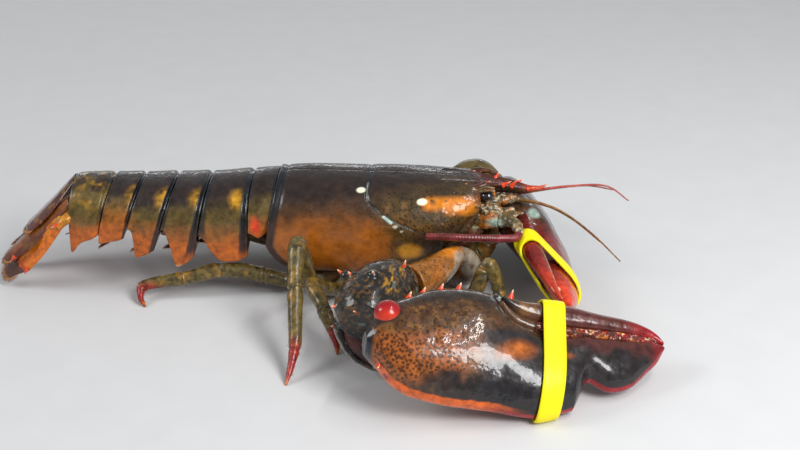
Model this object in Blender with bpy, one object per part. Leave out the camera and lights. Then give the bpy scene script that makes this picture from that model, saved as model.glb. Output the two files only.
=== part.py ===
"""American lobster at life size, at rest on its belly with both claws banded.

Lengths are in millimetres and become metres when a mesh is made. The working frame has its
origin on the floor under the rear edge of the carapace, with +X to the head, +Y to the
lobster's left and +Z up. At the end an empty moves the whole animal so that the middle of
its box stands over the world's origin.
"""

import math

import bmesh
import bpy
from mathutils import Vector

MM = 0.001
GAP = 0.3
TAU = 2.0 * math.pi

# Driving dimensions of the body
CARAPACE_LENGTH = 128.0
CARAPACE_HALF_WIDTH = 37.0
CARAPACE_TOP = 76.0
BELLY_MARGIN = 11.5
ROSTRUM_TIP = Vector((171.5, 0.0, 63.6))
TAIL_TOP = 71.0
ABDOMEN_HALF_WIDTH = 31.5
STERNUM_HALF_WIDTH = 16.0
EYE_CENTRE = Vector((132.0, 16.0, 63.8))
EYE_RADII = Vector((4.7, 4.0, 3.7))
FAR_EYE_DROP = 3.0

# Driving dimensions of the claws: length, width, half thickness
CRUSHER = (172.4, 75.4, 18.0)
CUTTER = (158.0, 55.0, 14.0)
CRUSHER_FACES = (1.12, 0.65)
CUTTER_FACES = (1.0, 1.0)
THUMB_THICKNESS = {True: 0.82, False: 0.58}
BAND_THICKNESS = 1.6
BAND_CLEARANCE = 0.8

COLOURS = {
    "shell_dark": (0.045, 0.032, 0.026),
    "shell_brown": (0.16, 0.075, 0.03),
    "shell_orange": (0.55, 0.17, 0.03),
    "shell_olive": (0.12, 0.10, 0.04),
    "claw_maroon": (0.14, 0.03, 0.02),
    "belly": (0.35, 0.20, 0.10),
    "eye": (0.006, 0.006, 0.008),
    "feeler": (0.28, 0.07, 0.03),
    "rubber_yellow": (0.9, 0.78, 0.01),
}


def curve(*knots):
    """A smooth function through (place, value) knots, level beyond its two ends."""
    knots = sorted(knots)
    places = [knot[0] for knot in knots]
    values = [knot[1] for knot in knots]
    slopes = []
    for index in range(len(knots)):
        before = max(index - 1, 0)
        after = min(index + 1, len(knots) - 1)
        slopes.append((values[after] - values[before]) / (places[after] - places[before]))

    def value(place):
        if place <= places[0]:
            return values[0]
        if place >= places[-1]:
            return values[-1]
        index = max(k for k in range(len(places) - 1) if places[k] <= place)
        span = places[index + 1] - places[index]
        t = (place - places[index]) / span
        start = (1 + 2 * t) * (1 - t) ** 2 * values[index]
        start += t * (1 - t) ** 2 * span * slopes[index]
        end = t * t * (3 - 2 * t) * values[index + 1]
        end += t * t * (t - 1) * span * slopes[index + 1]
        return start + end

    return value


def steps(first, last, count):
    """Evenly spaced numbers from first to last."""
    return [first + (last - first) * index / (count - 1) for index in range(count)]


def power(value, exponent):
    """A signed power, for superellipse sections."""
    return math.copysign(abs(value) ** exponent, value)


def make_material(name, roughness=0.25):
    """A glossy shell material in one of the named colours."""
    material = bpy.data.materials.new(name)
    material.use_nodes = True
    shader = material.node_tree.nodes["Principled BSDF"]
    shader.inputs["Base Color"].default_value = (*COLOURS[name], 1.0)
    shader.inputs["Roughness"].default_value = roughness
    shader.inputs["Metallic"].default_value = 0.0
    material.diffuse_color = (*COLOURS[name], 1.0)
    return material


def place_on_floor(point):
    """Keep a point from passing below the floor, which leaves a small flat."""
    return Vector((point.x, point.y, max(point.z, 0.0)))


def loft(name, rings, fan=False):
    """A closed body through rings with equal numbers of points."""
    mesh = bmesh.new()
    rows = [[mesh.verts.new(place_on_floor(point) * MM) for point in ring] for ring in rings]
    for row, following in zip(rows, rows[1:]):
        for index, vertex in enumerate(row):
            other = (index + 1) % len(row)
            mesh.faces.new((vertex, row[other], following[other], following[index]))
    for row in (rows[0], rows[-1]):
        if fan:
            middle = mesh.verts.new(sum((vertex.co for vertex in row), Vector()) / len(row))
            for index, vertex in enumerate(row):
                mesh.faces.new((vertex, row[(index + 1) % len(row)], middle))
        else:
            mesh.faces.new(row)
    return finish_mesh(name, mesh, sum(rings[0], Vector()) / len(rings[0]))


def finish_mesh(name, mesh, origin):
    """An object whose origin is where the piece is rooted, with outward faces and smooth shading."""
    bmesh.ops.remove_doubles(mesh, verts=mesh.verts, dist=0.00001)
    bmesh.ops.triangulate(mesh, faces=[face for face in mesh.faces if len(face.verts) > 4])
    bmesh.ops.recalc_face_normals(mesh, faces=mesh.faces)
    if mesh.calc_volume(signed=True) < 0:
        bmesh.ops.reverse_faces(mesh, faces=mesh.faces)
    place = Vector(origin) * MM
    bmesh.ops.translate(mesh, verts=mesh.verts, vec=-place)
    data = bpy.data.meshes.new(name)
    mesh.to_mesh(data)
    mesh.free()
    data.shade_smooth()
    data.set_sharp_from_angle(angle=math.radians(50))
    thing = bpy.data.objects.new(name, data)
    thing.location = place
    return thing


def limb_frames(points, side):
    """Tangent and the two cross axes at each point of a path that bends about one side axis."""
    frames = []
    for index, point in enumerate(points):
        before = points[max(index - 1, 0)]
        after = points[min(index + 1, len(points) - 1)]
        tangent = (after - before).normalized()
        across = (side - tangent * side.dot(tangent)).normalized()
        frames.append((point, across, tangent.cross(across)))
    return frames


def smooth_path(knots, per_span):
    """Points with radii along a smooth curve through knots of point, radius and radius."""
    places = [0.0]
    for first, second in zip(knots, knots[1:]):
        places.append(places[-1] + (Vector(second[0]) - Vector(first[0])).length)
    rows = [(*knot[0], knot[1], knot[2]) for knot in knots]
    tracks = [curve(*[(place, row[k]) for place, row in zip(places, rows)]) for k in range(5)]
    path = []
    for first, second in zip(places, places[1:]):
        path.extend(steps(first, second, per_span + 1)[:-1])
    path.append(places[-1])
    return [[track(place) for track in tracks] for place in path]


def limb(name, knots, side, sides=8, per_span=2):
    """A tapering limb whose oval section has one radius along side and one across it."""
    path = smooth_path(knots, per_span)
    points = [Vector(row[:3]) for row in path]
    rings = []
    for (point, across, up), row in zip(limb_frames(points, Vector(side)), path):
        ring = []
        for index in range(sides):
            angle = TAU * (index + 0.5) / sides
            ring.append(point + across * row[3] * math.cos(angle) + up * row[4] * math.sin(angle))
        rings.append(ring)
    return loft(name, rings)


def ball(name, centre, radii, rows=8, sides=12):
    """An ellipsoid."""
    mesh = bmesh.new()
    bmesh.ops.create_uvsphere(mesh, u_segments=sides, v_segments=rows, radius=1.0)
    bmesh.ops.scale(mesh, verts=mesh.verts, vec=Vector(radii) * MM)
    bmesh.ops.translate(mesh, verts=mesh.verts, vec=Vector(centre) * MM)
    return finish_mesh(name, mesh, centre)


def spine(root, direction, length, radius, sides=5):
    """A sharp cone with its root sunk under the surface it grows from."""
    direction = Vector(direction).normalized()
    sunk = Vector(root) - direction * radius
    mesh = bmesh.new()
    bmesh.ops.create_cone(
        mesh, cap_ends=True, segments=sides, radius1=radius * MM, radius2=0.15 * radius * MM,
        depth=(length + radius) * MM,
    )
    bmesh.ops.translate(mesh, verts=mesh.verts, vec=(0, 0, (length + radius) / 2 * MM))
    bmesh.ops.transform(mesh, verts=mesh.verts, matrix=direction.to_track_quat("Z", "Y").to_matrix().to_4x4())
    bmesh.ops.translate(mesh, verts=mesh.verts, vec=sunk * MM)
    return finish_mesh("spine", mesh, sunk)


def whip(name, knots, per_span=3, sides=2):
    """A long thin feeler: a bevelled curve through knots of point and radius, made a mesh."""
    path = smooth_path([(Vector(point), radius, radius) for point, radius in knots], per_span)
    line = bpy.data.curves.new(name, "CURVE")
    line.dimensions = "3D"
    line.bevel_depth = MM
    line.bevel_resolution = sides
    line.use_fill_caps = True
    spline = line.splines.new("POLY")
    spline.points.add(len(path) - 1)
    for point, row in zip(spline.points, path):
        point.co = (row[0] * MM, row[1] * MM, row[2] * MM, 1.0)
        point.radius = row[3]
    guide = bpy.data.objects.new(name, line)
    bpy.context.scene.collection.objects.link(guide)
    bpy.context.view_layer.update()
    data = bpy.data.meshes.new_from_object(guide.evaluated_get(bpy.context.evaluated_depsgraph_get()))
    mesh = bmesh.new()
    mesh.from_mesh(data)
    bmesh.ops.transform(mesh, verts=mesh.verts, matrix=guide.matrix_world)
    bpy.data.objects.remove(guide)
    bpy.data.curves.remove(line)
    bpy.data.meshes.remove(data)
    return finish_mesh(name, mesh, knots[0][0])


def keep_largest(mesh):
    """Drop every closed surface of a bmesh but the largest."""
    left = set(mesh.faces)
    islands = []
    while left:
        island = []
        stack = [left.pop()]
        while stack:
            face = stack.pop()
            island.append(face)
            for edge in face.edges:
                for neighbour in edge.link_faces:
                    if neighbour in left:
                        left.remove(neighbour)
                        stack.append(neighbour)
        islands.append(island)
    islands.sort(key=lambda faces: sum(face.calc_area() for face in faces))
    for island in islands[:-1]:
        bmesh.ops.delete(mesh, geom=island, context="FACES")


def is_closed(mesh):
    """Whether every edge of a bmesh joins exactly two faces."""
    return all(len(edge.link_faces) == 2 for edge in mesh.edges)


def apply_boolean(target, others, operation):
    """Join or cut a body with other closed bodies, and remove them."""
    tools = bpy.data.collections.new("tools")
    bpy.context.scene.collection.children.link(tools)
    bpy.context.scene.collection.objects.link(target)
    for other in others:
        tools.objects.link(other)
    modifier = target.modifiers.new(operation, "BOOLEAN")
    modifier.operation = operation
    modifier.operand_type = "COLLECTION"
    modifier.collection = tools
    for solver, crossing in (("EXACT", True), ("EXACT", False), ("MANIFOLD", False)):
        modifier.solver = solver
        modifier.use_self = crossing
        bpy.context.view_layer.update()
        graph = bpy.context.evaluated_depsgraph_get()
        data = bpy.data.meshes.new_from_object(target.evaluated_get(graph))
        mesh = bmesh.new()
        mesh.from_mesh(data)
        bmesh.ops.remove_doubles(mesh, verts=mesh.verts, dist=0.00002)
        bmesh.ops.dissolve_degenerate(mesh, edges=mesh.edges, dist=0.00001)
        keep_largest(mesh)
        if mesh.faces and is_closed(mesh):
            break
        if solver != "MANIFOLD":
            mesh.free()
    target.modifiers.clear()
    mesh.to_mesh(data)
    mesh.free()
    data.name = target.name
    target.data = data
    bpy.context.scene.collection.objects.unlink(target)
    for other in others:
        bpy.data.objects.remove(other)
    bpy.data.collections.remove(tools)
    return target


def fuse(body, pieces):
    """Join small pieces to the body they grow from."""
    return apply_boolean(body, pieces, "UNION") if pieces else body


def cut_clear(body, neighbour):
    """Cut the body back to a small gap from a neighbour that it would touch."""
    cutter = neighbour.copy()
    cutter.data = neighbour.data.copy()
    normals = [vertex.normal.copy() for vertex in cutter.data.vertices]
    for vertex, normal in zip(cutter.data.vertices, normals):
        vertex.co += normal * (GAP + 0.1) * MM
    return apply_boolean(body, [cutter], "DIFFERENCE")


def mirrored(point, side):
    """A point given for the left side, moved to the wanted side."""
    return Vector((point[0], point[1] * side, point[2]))


# Carapace with rostrum

CARAPACE_CREST = curve((0, 75.6), (15, CARAPACE_TOP), (50, 74.8), (76, 73.7), (100, 71.8), (128, 68.9))
CARAPACE_SIDE = curve(
    (0, 0.86), (15, 0.95), (45, 1.0), (80, 1.0), (100, 0.94), (114, 0.80), (124, 0.62), (128, 0.52)
)
CARAPACE_WAIST = curve((0, 43), (50, 40), (95, 42), (112, 50), (128, 60))
CARAPACE_BELLY = curve((0, 13), (14, BELLY_MARGIN), (88, BELLY_MARGIN), (100, 20), (112, 34), (128, 53))
GROOVE_PLACE = curve((46, 92), (53, 76.6), (56, 70.4), (61, 62.4), (66, 57.3), (71, 57), (74, 58), (79, 60.5))
GROOVE_DEPTH = curve((44, 0.0), (50, 1.0), (60, 1.5), (79, 1.1))
CARAPACE_STATIONS = (
    0, 4, 10, 18, 28, 38, 47, 52, 54.5, 57, 59.5, 62, 65, 68, 71, 75, 80, 87, 94, 101, 107, 113, 118, 122, 126,
    CARAPACE_LENGTH,
)


def rear_bow(height):
    """How far the rear edge of the carapace stands behind its crest at a given height."""
    if height >= 38:
        return -0.215 * (78 - height)
    return -8.6 + ((38 - height) / 29) ** 1.5 * 20


def carapace_ring(station, count=32):
    """One cross section of the carapace, round above and boxy below, with the neck groove."""
    crest = CARAPACE_CREST(station)
    waist = CARAPACE_WAIST(station)
    belly = CARAPACE_BELLY(station)
    width = CARAPACE_SIDE(station) * CARAPACE_HALF_WIDTH
    fade = max(0.0, 1 - station / 45)
    ring = []
    for index in range(count):
        angle = TAU * index / count
        y = width * power(math.sin(angle), 0.88 if math.cos(angle) >= 0 else 0.7)
        if math.cos(angle) >= 0:
            z = waist + (crest - waist) * power(math.cos(angle), 0.92)
        else:
            z = waist - (waist - belly) * abs(math.cos(angle)) ** 0.75
        distance = station - GROOVE_PLACE(z)
        sink = GROOVE_DEPTH(z) * math.exp(-((distance / 2.6) ** 2)) if math.cos(angle) > -0.2 else 0.0
        inward = Vector((0, -y, waist - z)).normalized()
        ring.append(Vector((station + rear_bow(z) * fade, y, z)) + inward * sink)
    return ring


def rostrum():
    """The flat beak between the eyes, hollow above, with its tip turned up."""
    top = curve((104, 70.9), (122, 69.0), (134, 67.4), (150, 63.9), (159, 61.4), (166, 61.6), (171.5, ROSTRUM_TIP.z + 0.4))
    half = curve((104, 11), (120, 9.0), (134, 6.8), (148, 4.9), (160, 2.9), (168, 1.5), (171.5, 0.4))
    depth = curve((104, 8), (128, 5.5), (148, 5.2), (160, 3.8), (171.5, 0.7))
    shape = ((0, -0.12), (0.55, -0.05), (0.95, 0.1), (1, -0.35), (0.7, -0.8), (0, -1))
    outline = shape + tuple((-across, down) for across, down in reversed(shape[1:-1]))
    rings = []
    for station in (104, 114, 122, 128, 134, 141, 148, 154, 160, 165, 168.5, ROSTRUM_TIP.x):
        ring = []
        for across, down in outline:
            ring.append(Vector((station, across * half(station), top(station) + down * depth(station))))
        rings.append(ring)
    return loft("rostrum", rings)


# Root, direction, length and radius of each spine on the carapace
CARAPACE_SPINES = (
    ((116.5, -9.5, 68.6), (0.9, -0.2, 0.25), 4.0, 1.3),
    ((122.0, 8.5, 68.4), (0.9, 0.2, 0.3), 4.0, 1.3),
    ((131.0, -6.6, 67.2), (0.9, -0.2, 0.5), 4.5, 1.4),
    ((139.5, 5.8, 65.6), (0.5, 0.2, 0.8), 5.5, 1.4),
    ((142.5, -5.2, 65.6), (0.9, -0.1, 0.5), 6.0, 1.5),
    ((148.0, -4.5, 64.8), (0.5, -0.1, 0.9), 9.0, 1.5),
    ((152.0, 4.2, 63.0), (0.85, 0.3, 0.4), 4.5, 1.2),
    ((126.0, -19.5, 58.0), (0.95, -0.15, 0.1), 5.0, 1.5),
    ((126.0, 19.5, 58.0), (0.95, 0.15, 0.1), 5.0, 1.5),
)


def make_carapace():
    """Carapace, rostrum and their spines as one shell."""
    body = loft("carapace", [carapace_ring(station) for station in CARAPACE_STATIONS], fan=True)
    pieces = [rostrum()] + [spine(*values) for values in CARAPACE_SPINES]
    return fuse(body, pieces)


def make_sternum():
    """The plates between the legs, and the mouth's floor under the head."""
    floor = curve((6, 3), (16, 0), (98, 0), (108, 7), (119, 28))
    rings = []
    for station in (6, 16, 40, 70, 92, 99, 106, 113, 119):
        top = CARAPACE_BELLY(station) - GAP
        bottom = min(floor(station), top - 3)
        half = STERNUM_HALF_WIDTH
        ring = [Vector((station, half * y, z)) for y, z in (
            (-0.55, bottom), (0.55, bottom), (1, bottom + 2.2), (1, top), (-1, top), (-1, bottom + 2.2)
        )]
        rings.append(ring)
    return loft("sternum", rings)


# Abdomen

SEGMENT_BREAKS = (0.0, -17.0, -44.0, -65.0, -87.0, -107.0, -134.0)
ABDOMEN_CREST = curve(
    (0, 75.6), (-10, 75.0), (-25, 73.3), (-46, 72.1), (-70, 72.1), (-93, 72.5), (-127, 73.9), (-134, 73.5)
)
ABDOMEN_SIDE = curve((0, 0.88), (-17, 0.96), (-44, 1.0), (-65, 1.0), (-87, 0.96), (-107, 0.88), (-134, 0.76))
ABDOMEN_FLOOR = curve((0, 45), (-17, 41), (-44, 35), (-65, 37), (-87, 42), (-107, 46), (-134, 50))
SEGMENT_LEAN = curve((0, -9), (-17, -3), (-44, -9), (-65, -14), (-87, -14), (-107, -11), (-134, -3))
LEAN_HEIGHT = 40.0
PLEURON_TIPS = (40.0, 24.5, 20.5, 28.5, 38.0, 30.0)
PLEURON_SHAPES = (
    curve((0, 0.4), (0.5, 1.0), (1, 0.3)),
    curve((0, 0.35), (0.2, 0.92), (0.5, 1.0), (0.8, 0.9), (1, 0.25)),
    curve((0, 0.25), (0.15, 0.8), (0.38, 1.0), (0.55, 0.6), (0.72, 0.2), (1, 0.05)),
    curve((0, 0.25), (0.12, 0.8), (0.42, 1.0), (0.6, 0.6), (0.8, 0.2), (1, 0.1)),
    curve((0, 0.2), (0.35, 0.5), (0.6, 0.8), (0.82, 1.0), (1, 0.3)),
    curve((0, 0.2), (0.35, 0.4), (0.65, 0.7), (0.88, 1.0), (1, 0.4)),
)


def abdomen_ring(station, number, share, tuck):
    """One cross section of a tail segment, with its side plates hanging below the belly."""
    swell = 1.0 - tuck
    crest = ABDOMEN_CREST(station) - 28 * tuck
    belly = ABDOMEN_FLOOR(station)
    width = ABDOMEN_SIDE(station) * ABDOMEN_HALF_WIDTH * swell
    waist = crest - 24
    tip = belly - 1.2 - (belly - 1.2 - PLEURON_TIPS[number]) * PLEURON_SHAPES[number](share)
    half = []
    for angle in steps(0, math.pi / 2, 6):
        half.append((width * math.sin(angle) ** 0.9, waist + (crest - waist) * math.cos(angle) ** 0.95))
    half.append((width * 0.995, (waist + tip) / 2))
    half.append((width * 0.955, tip))
    half.append((width * 0.955 - 2.2, tip + 0.3))
    half.append((width * 0.93 - 5.0, belly))
    outline = half + [(0.0, belly - 0.5)] + [(-y, z) for y, z in reversed(half[1:])]
    lean = SEGMENT_LEAN(station)
    return [Vector((station + lean * (78 - z) / LEAN_HEIGHT, y, z)) for y, z in outline]


def make_abdomen():
    """Six tail segments, each one tucked under the rear edge of the one before it."""
    segments = []
    for number in range(6):
        front = SEGMENT_BREAKS[number] - GAP
        rear = SEGMENT_BREAKS[number + 1]
        rings = []
        for share in (0.0, 0.08, 0.2, 0.38, 0.55, 0.72, 0.88, 1.0):
            tuck = 0.07 * max(0.0, 1 - share / 0.2) ** 1.3 if number else 0.02
            rings.append(abdomen_ring(front + (rear - front) * share, number, share, tuck))
        segments.append(loft(f"abdomen_{number + 1}", rings))
    return segments


# Tail fan

def blade(name, root, tip, width, thickness, normal, rounding=0.6, camber=2.0, stations=9):
    """A thin paddle from a narrow root to a rounded end, arched across its width."""
    root = Vector(root)
    tip = Vector(tip)
    along = (tip - root).normalized()
    normal = Vector(normal)
    normal = (normal - along * normal.dot(along)).normalized()
    across = along.cross(normal)
    length = (tip - root).length
    outline = curve((0, 0.42), (0.12, 0.6), (0.4, 0.92), (0.65, 1.0), (0.85, 0.86 * rounding + 0.14), (1, 0.3))
    rings = []
    for share in steps(0.0, 1.0, stations):
        half = outline(share) * width / 2
        thick = thickness * (1.0 - 0.55 * share) / 2
        centre = root + along * length * share
        ring = []
        for index in range(12):
            angle = TAU * index / 12
            y = half * power(math.cos(angle), 0.8)
            arch = camber * (1 - (y / (width / 2)) ** 2) - camber
            ring.append(centre + across * y + normal * (thick * math.sin(angle) + arch))
        rings.append(ring)
    return loft(name, rings)


def make_tail_fan():
    """Telson, and an inner and an outer blade on each side."""
    parts = [
        blade("telson", (-133.8, 0, 71.8), (-171.8, 0, 38.4), 33, 4.0, (-0.66, 0, 0.75), 0.9, 3.5)
    ]
    for word, side in (("right", -1), ("left", 1)):
        inner = blade(
            f"uropod_{word}_inner",
            mirrored((-136.0, 13.5, 62.0), side),
            mirrored((-186.5, 12.5, 19.5), side),
            21, 3.0, mirrored((-0.60, 0.34, 0.72), side),
        )
        outer = blade(
            f"uropod_{word}_outer",
            mirrored((-140.5, 23.0, 52.0), side),
            mirrored((-189.0, 12.0, 7.5), side),
            20, 3.0, mirrored((-0.54, 0.69, 0.42), side),
        )
        stem = limb(
            "stem",
            [(mirrored((-133.5, 17.5, 52.5), side), 4.6, 3.2), (mirrored((-143.5, 25.5, 44.5), side), 5.0, 2.8)],
            (0.3, 1.0 * side, 0.2),
        )
        thorn = spine(
            mirrored((-141.0, 27.0, 47.5), side), mirrored((-0.75, 0.45, -0.4), side), 8.0, 1.5
        )
        parts.append(inner)
        parts.append(fuse(outer, [stem, thorn]))
    return parts


def make_swimmerets():
    """Four pairs of small paddles that hang under the tail."""
    parts = []
    for number, station in enumerate((-34, -56, -78, -99)):
        belly = ABDOMEN_FLOOR(station)
        for word, side in (("right", -1), ("left", 1)):
            root = mirrored((station - 4, 9.5, belly + 0.6), side)
            tip = mirrored((station - 20, 12.5, max(belly - 22, 13)), side)
            parts.append(blade(f"swimmeret_{word}_{number + 2}", root, tip, 12, 2.0, (-0.8, 0, 0.5), 0.6, 1.0, 6))
    return parts


# Walking legs

def leg_knots(points, radii):
    """Pair each joint of a leg with its width and height radii."""
    return [(Vector(point), wide, high) for point, (wide, high) in zip(points, radii)]


# From the body to the knee, then from the knee to the tip
UPPER_RADII = ((4.4, 4.4), (4.8, 4.4), (5.2, 5.0), (5.4, 5.2), (5.2, 4.8))
LOWER_RADII = ((5.2, 4.8), (5.3, 5.0), (4.4, 4.4), (4.6, 4.4), (3.9, 3.7), (3.2, 3.2), (1.9, 1.9), (0.7, 0.7))

LEGS = {
    "right_2": (
        ((74, -16.7, 6.2), (86, -34, 6.6), (106, -50, 8.5), (121, -58.5, 13.5), (130.2, -60, 35)),
        (
            (133.2, -60.3, 36.8), (135.2, -60.8, 32), (137.3, -62, 26), (138.2, -62.8, 21), (141.5, -68, 9),
            (142.5, -70, 6.5), (144.5, -73, 2.5), (145.5, -75, 0.4),
        ),
    ),
    "right_3": (
        ((40, -16.7, 6.2), (36, -32, 6.2), (29, -45, 14), (25, -54, 21), (23.5, -61, 25)),
        ((23.6, -61.4, 25), (26, -67, 23.5), (31, -76, 19), (33, -81, 17), (38, -90, 10.5), (40, -94, 7.5), (41.5, -99, 3.5), (42, -103, 0.4)),
    ),
    "right_4": (
        ((22, -16.7, 6.2), (21, -33, 6.2), (19, -45, 21), (18, -56, 43), (17.5, -66, 56)),
        ((17.5, -66.5, 56.3), (17.5, -74, 54), (17.6, -86, 43), (17.8, -91, 38.5), (19.2, -115, 17), (19, -119, 13.5), (17, -129, 5.5), (15.3, -136.5, 0.4)),
    ),
    "right_5": (
        ((10, -16.7, 6.2), (3, -24, 8), (-12, -24.5, 12), (-26, -24.5, 15.5), (-39, -26, 17.3)),
        ((-39.5, -26.1, 17.3), (-46, -27, 16.8), (-60, -29, 13.8), (-64, -29.3, 13.2), (-88, -31, 9.8), (-91, -33, 8.6), (-91, -39, 4.5), (-87.5, -44, 0.4)),
    ),
    "left_2": (
        ((74, 16.7, 6.2), (73, 33, 6.2), (74, 45, 17), (76, 57, 33), (78, 66, 39.5)),
        (
            (78.2, 66.5, 39.5), (80, 74, 37), (84, 84, 28), (85, 88, 24.5), (91, 108, 9.5), (92, 111, 7.5),
            (94, 117, 3.5), (95, 121, 0.4),
        ),
    ),
    "left_3": (
        ((48, 16.7, 6.2), (48, 33, 6.2), (47, 45, 17), (46, 57, 33), (46, 66, 40.5)),
        ((46, 66.5, 40.5), (46.5, 74, 38.5), (49, 86, 29), (49.5, 90, 25.5), (53, 112, 10), (53.5, 115, 8), (55, 123, 3.5), (56, 128, 0.4)),
    ),
    "left_4": (
        ((22, 16.7, 6.2), (21, 33, 6.2), (18, 45, 17), (15, 57, 33), (13, 66, 40.5)),
        ((13, 66.5, 40.5), (12.5, 74, 38.5), (11, 87, 29), (10.5, 92, 25.5), (7, 116, 10.5), (6.5, 119, 8.5), (4, 128, 3.5), (2.5, 134, 0.4)),
    ),
    "left_5": (
        ((10, 16.7, 6.2), (3, 24, 8), (-12, 26, 12), (-26, 28, 15.5), (-38, 32, 17.3)),
        ((-38.5, 32.2, 17.3), (-44, 34.5, 16.8), (-57, 41, 13.8), (-61, 43, 13.2), (-82, 55, 9), (-85, 57, 8), (-89, 62, 4), (-90, 67, 0.4)),
    ),
}


# Knees so sharply bent that a ball rounds them
BENT_KNEES = {"right_2": (132.6, -60.2, 37.0)}


def make_legs():
    """Eight walking legs, each parted at its knee."""
    parts = []
    for name, (upper, lower) in LEGS.items():
        run = Vector(lower[-1]) - Vector(upper[0])
        side = Vector((-run.y, run.x, 0)).normalized()
        slim = 0.92 if name.endswith(("2", "3")) else 1.0
        upper_radii = [(a * slim, b * slim) for a, b in UPPER_RADII]
        lower_radii = [(a * slim, b * slim) for a, b in LOWER_RADII]
        top = limb(f"leg_{name}_upper", leg_knots(upper, upper_radii), side, per_span=1)
        bottom = limb(f"leg_{name}_lower", leg_knots(lower, lower_radii), side, per_span=1)
        if name in BENT_KNEES:
            bottom = fuse(bottom, [ball("knee", BENT_KNEES[name], (4.9, 4.9, 4.9), 8, 10)])
        parts.append(cut_clear(top, bottom))
        parts.append(bottom)
    return parts


# Claws, drawn in the plane of their broad face: u runs from wrist to tip, v from the outer
# margin to the thumb's margin, both as shares of the claw's length and width

OUTER_MARGIN = curve(
    (0, 0.47), (0.034, 0.366), (0.103, 0.19), (0.229, 0.098), (0.389, 0.052), (0.531, 0.0), (0.606, 0.03),
    (0.68, 0.078), (0.75, 0.13), (0.823, 0.196), (0.869, 0.26), (0.926, 0.373), (0.969, 0.464), (1, 0.57),
)
INNER_MARGIN = curve(
    (0, 0.60), (0.034, 0.72), (0.134, 0.829), (0.203, 0.935), (0.271, 0.993), (0.354, 1.0), (0.429, 0.954),
    (0.463, 0.889), (0.514, 0.897), (0.669, 0.889), (0.777, 0.837), (0.88, 0.797), (0.943, 0.752),
    (0.981, 0.693), (1, 0.63),
)
BITE = curve(
    (0.42, 0.96), (0.451, 0.843), (0.48, 0.758), (0.526, 0.706), (0.577, 0.68), (0.663, 0.661),
    (0.834, 0.654), (0.949, 0.638), (1, 0.60),
)
CLAW_SWELL = curve(
    (0, 0.5), (0.034, 0.72), (0.12, 0.92), (0.26, 1.0), (0.37, 1.0), (0.5, 0.86), (0.6, 0.74), (0.77, 0.55),
    (0.9, 0.36), (1, 0.14),
)
OLD_NOTCH = curve((0.665, 0.0), (0.69, 0.09), (0.704, 0.165), (0.725, 0.185), (0.75, 0.09), (0.785, 0.0))
CLAW_STATIONS = (
    0, 0.02, 0.055, 0.11, 0.17, 0.24, 0.32, 0.385, 0.42, 0.451, 0.48, 0.526, 0.577, 0.62, 0.665, 0.68, 0.692,
    0.704, 0.716, 0.73, 0.75, 0.785, 0.825, 0.87, 0.91, 0.95, 0.98, 1,
)
THUMB_START = 0.451
THUMB_HINGE = (0.45, 0.90)
PALM_SIDES = 18
THUMB_SIDES = 14


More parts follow.
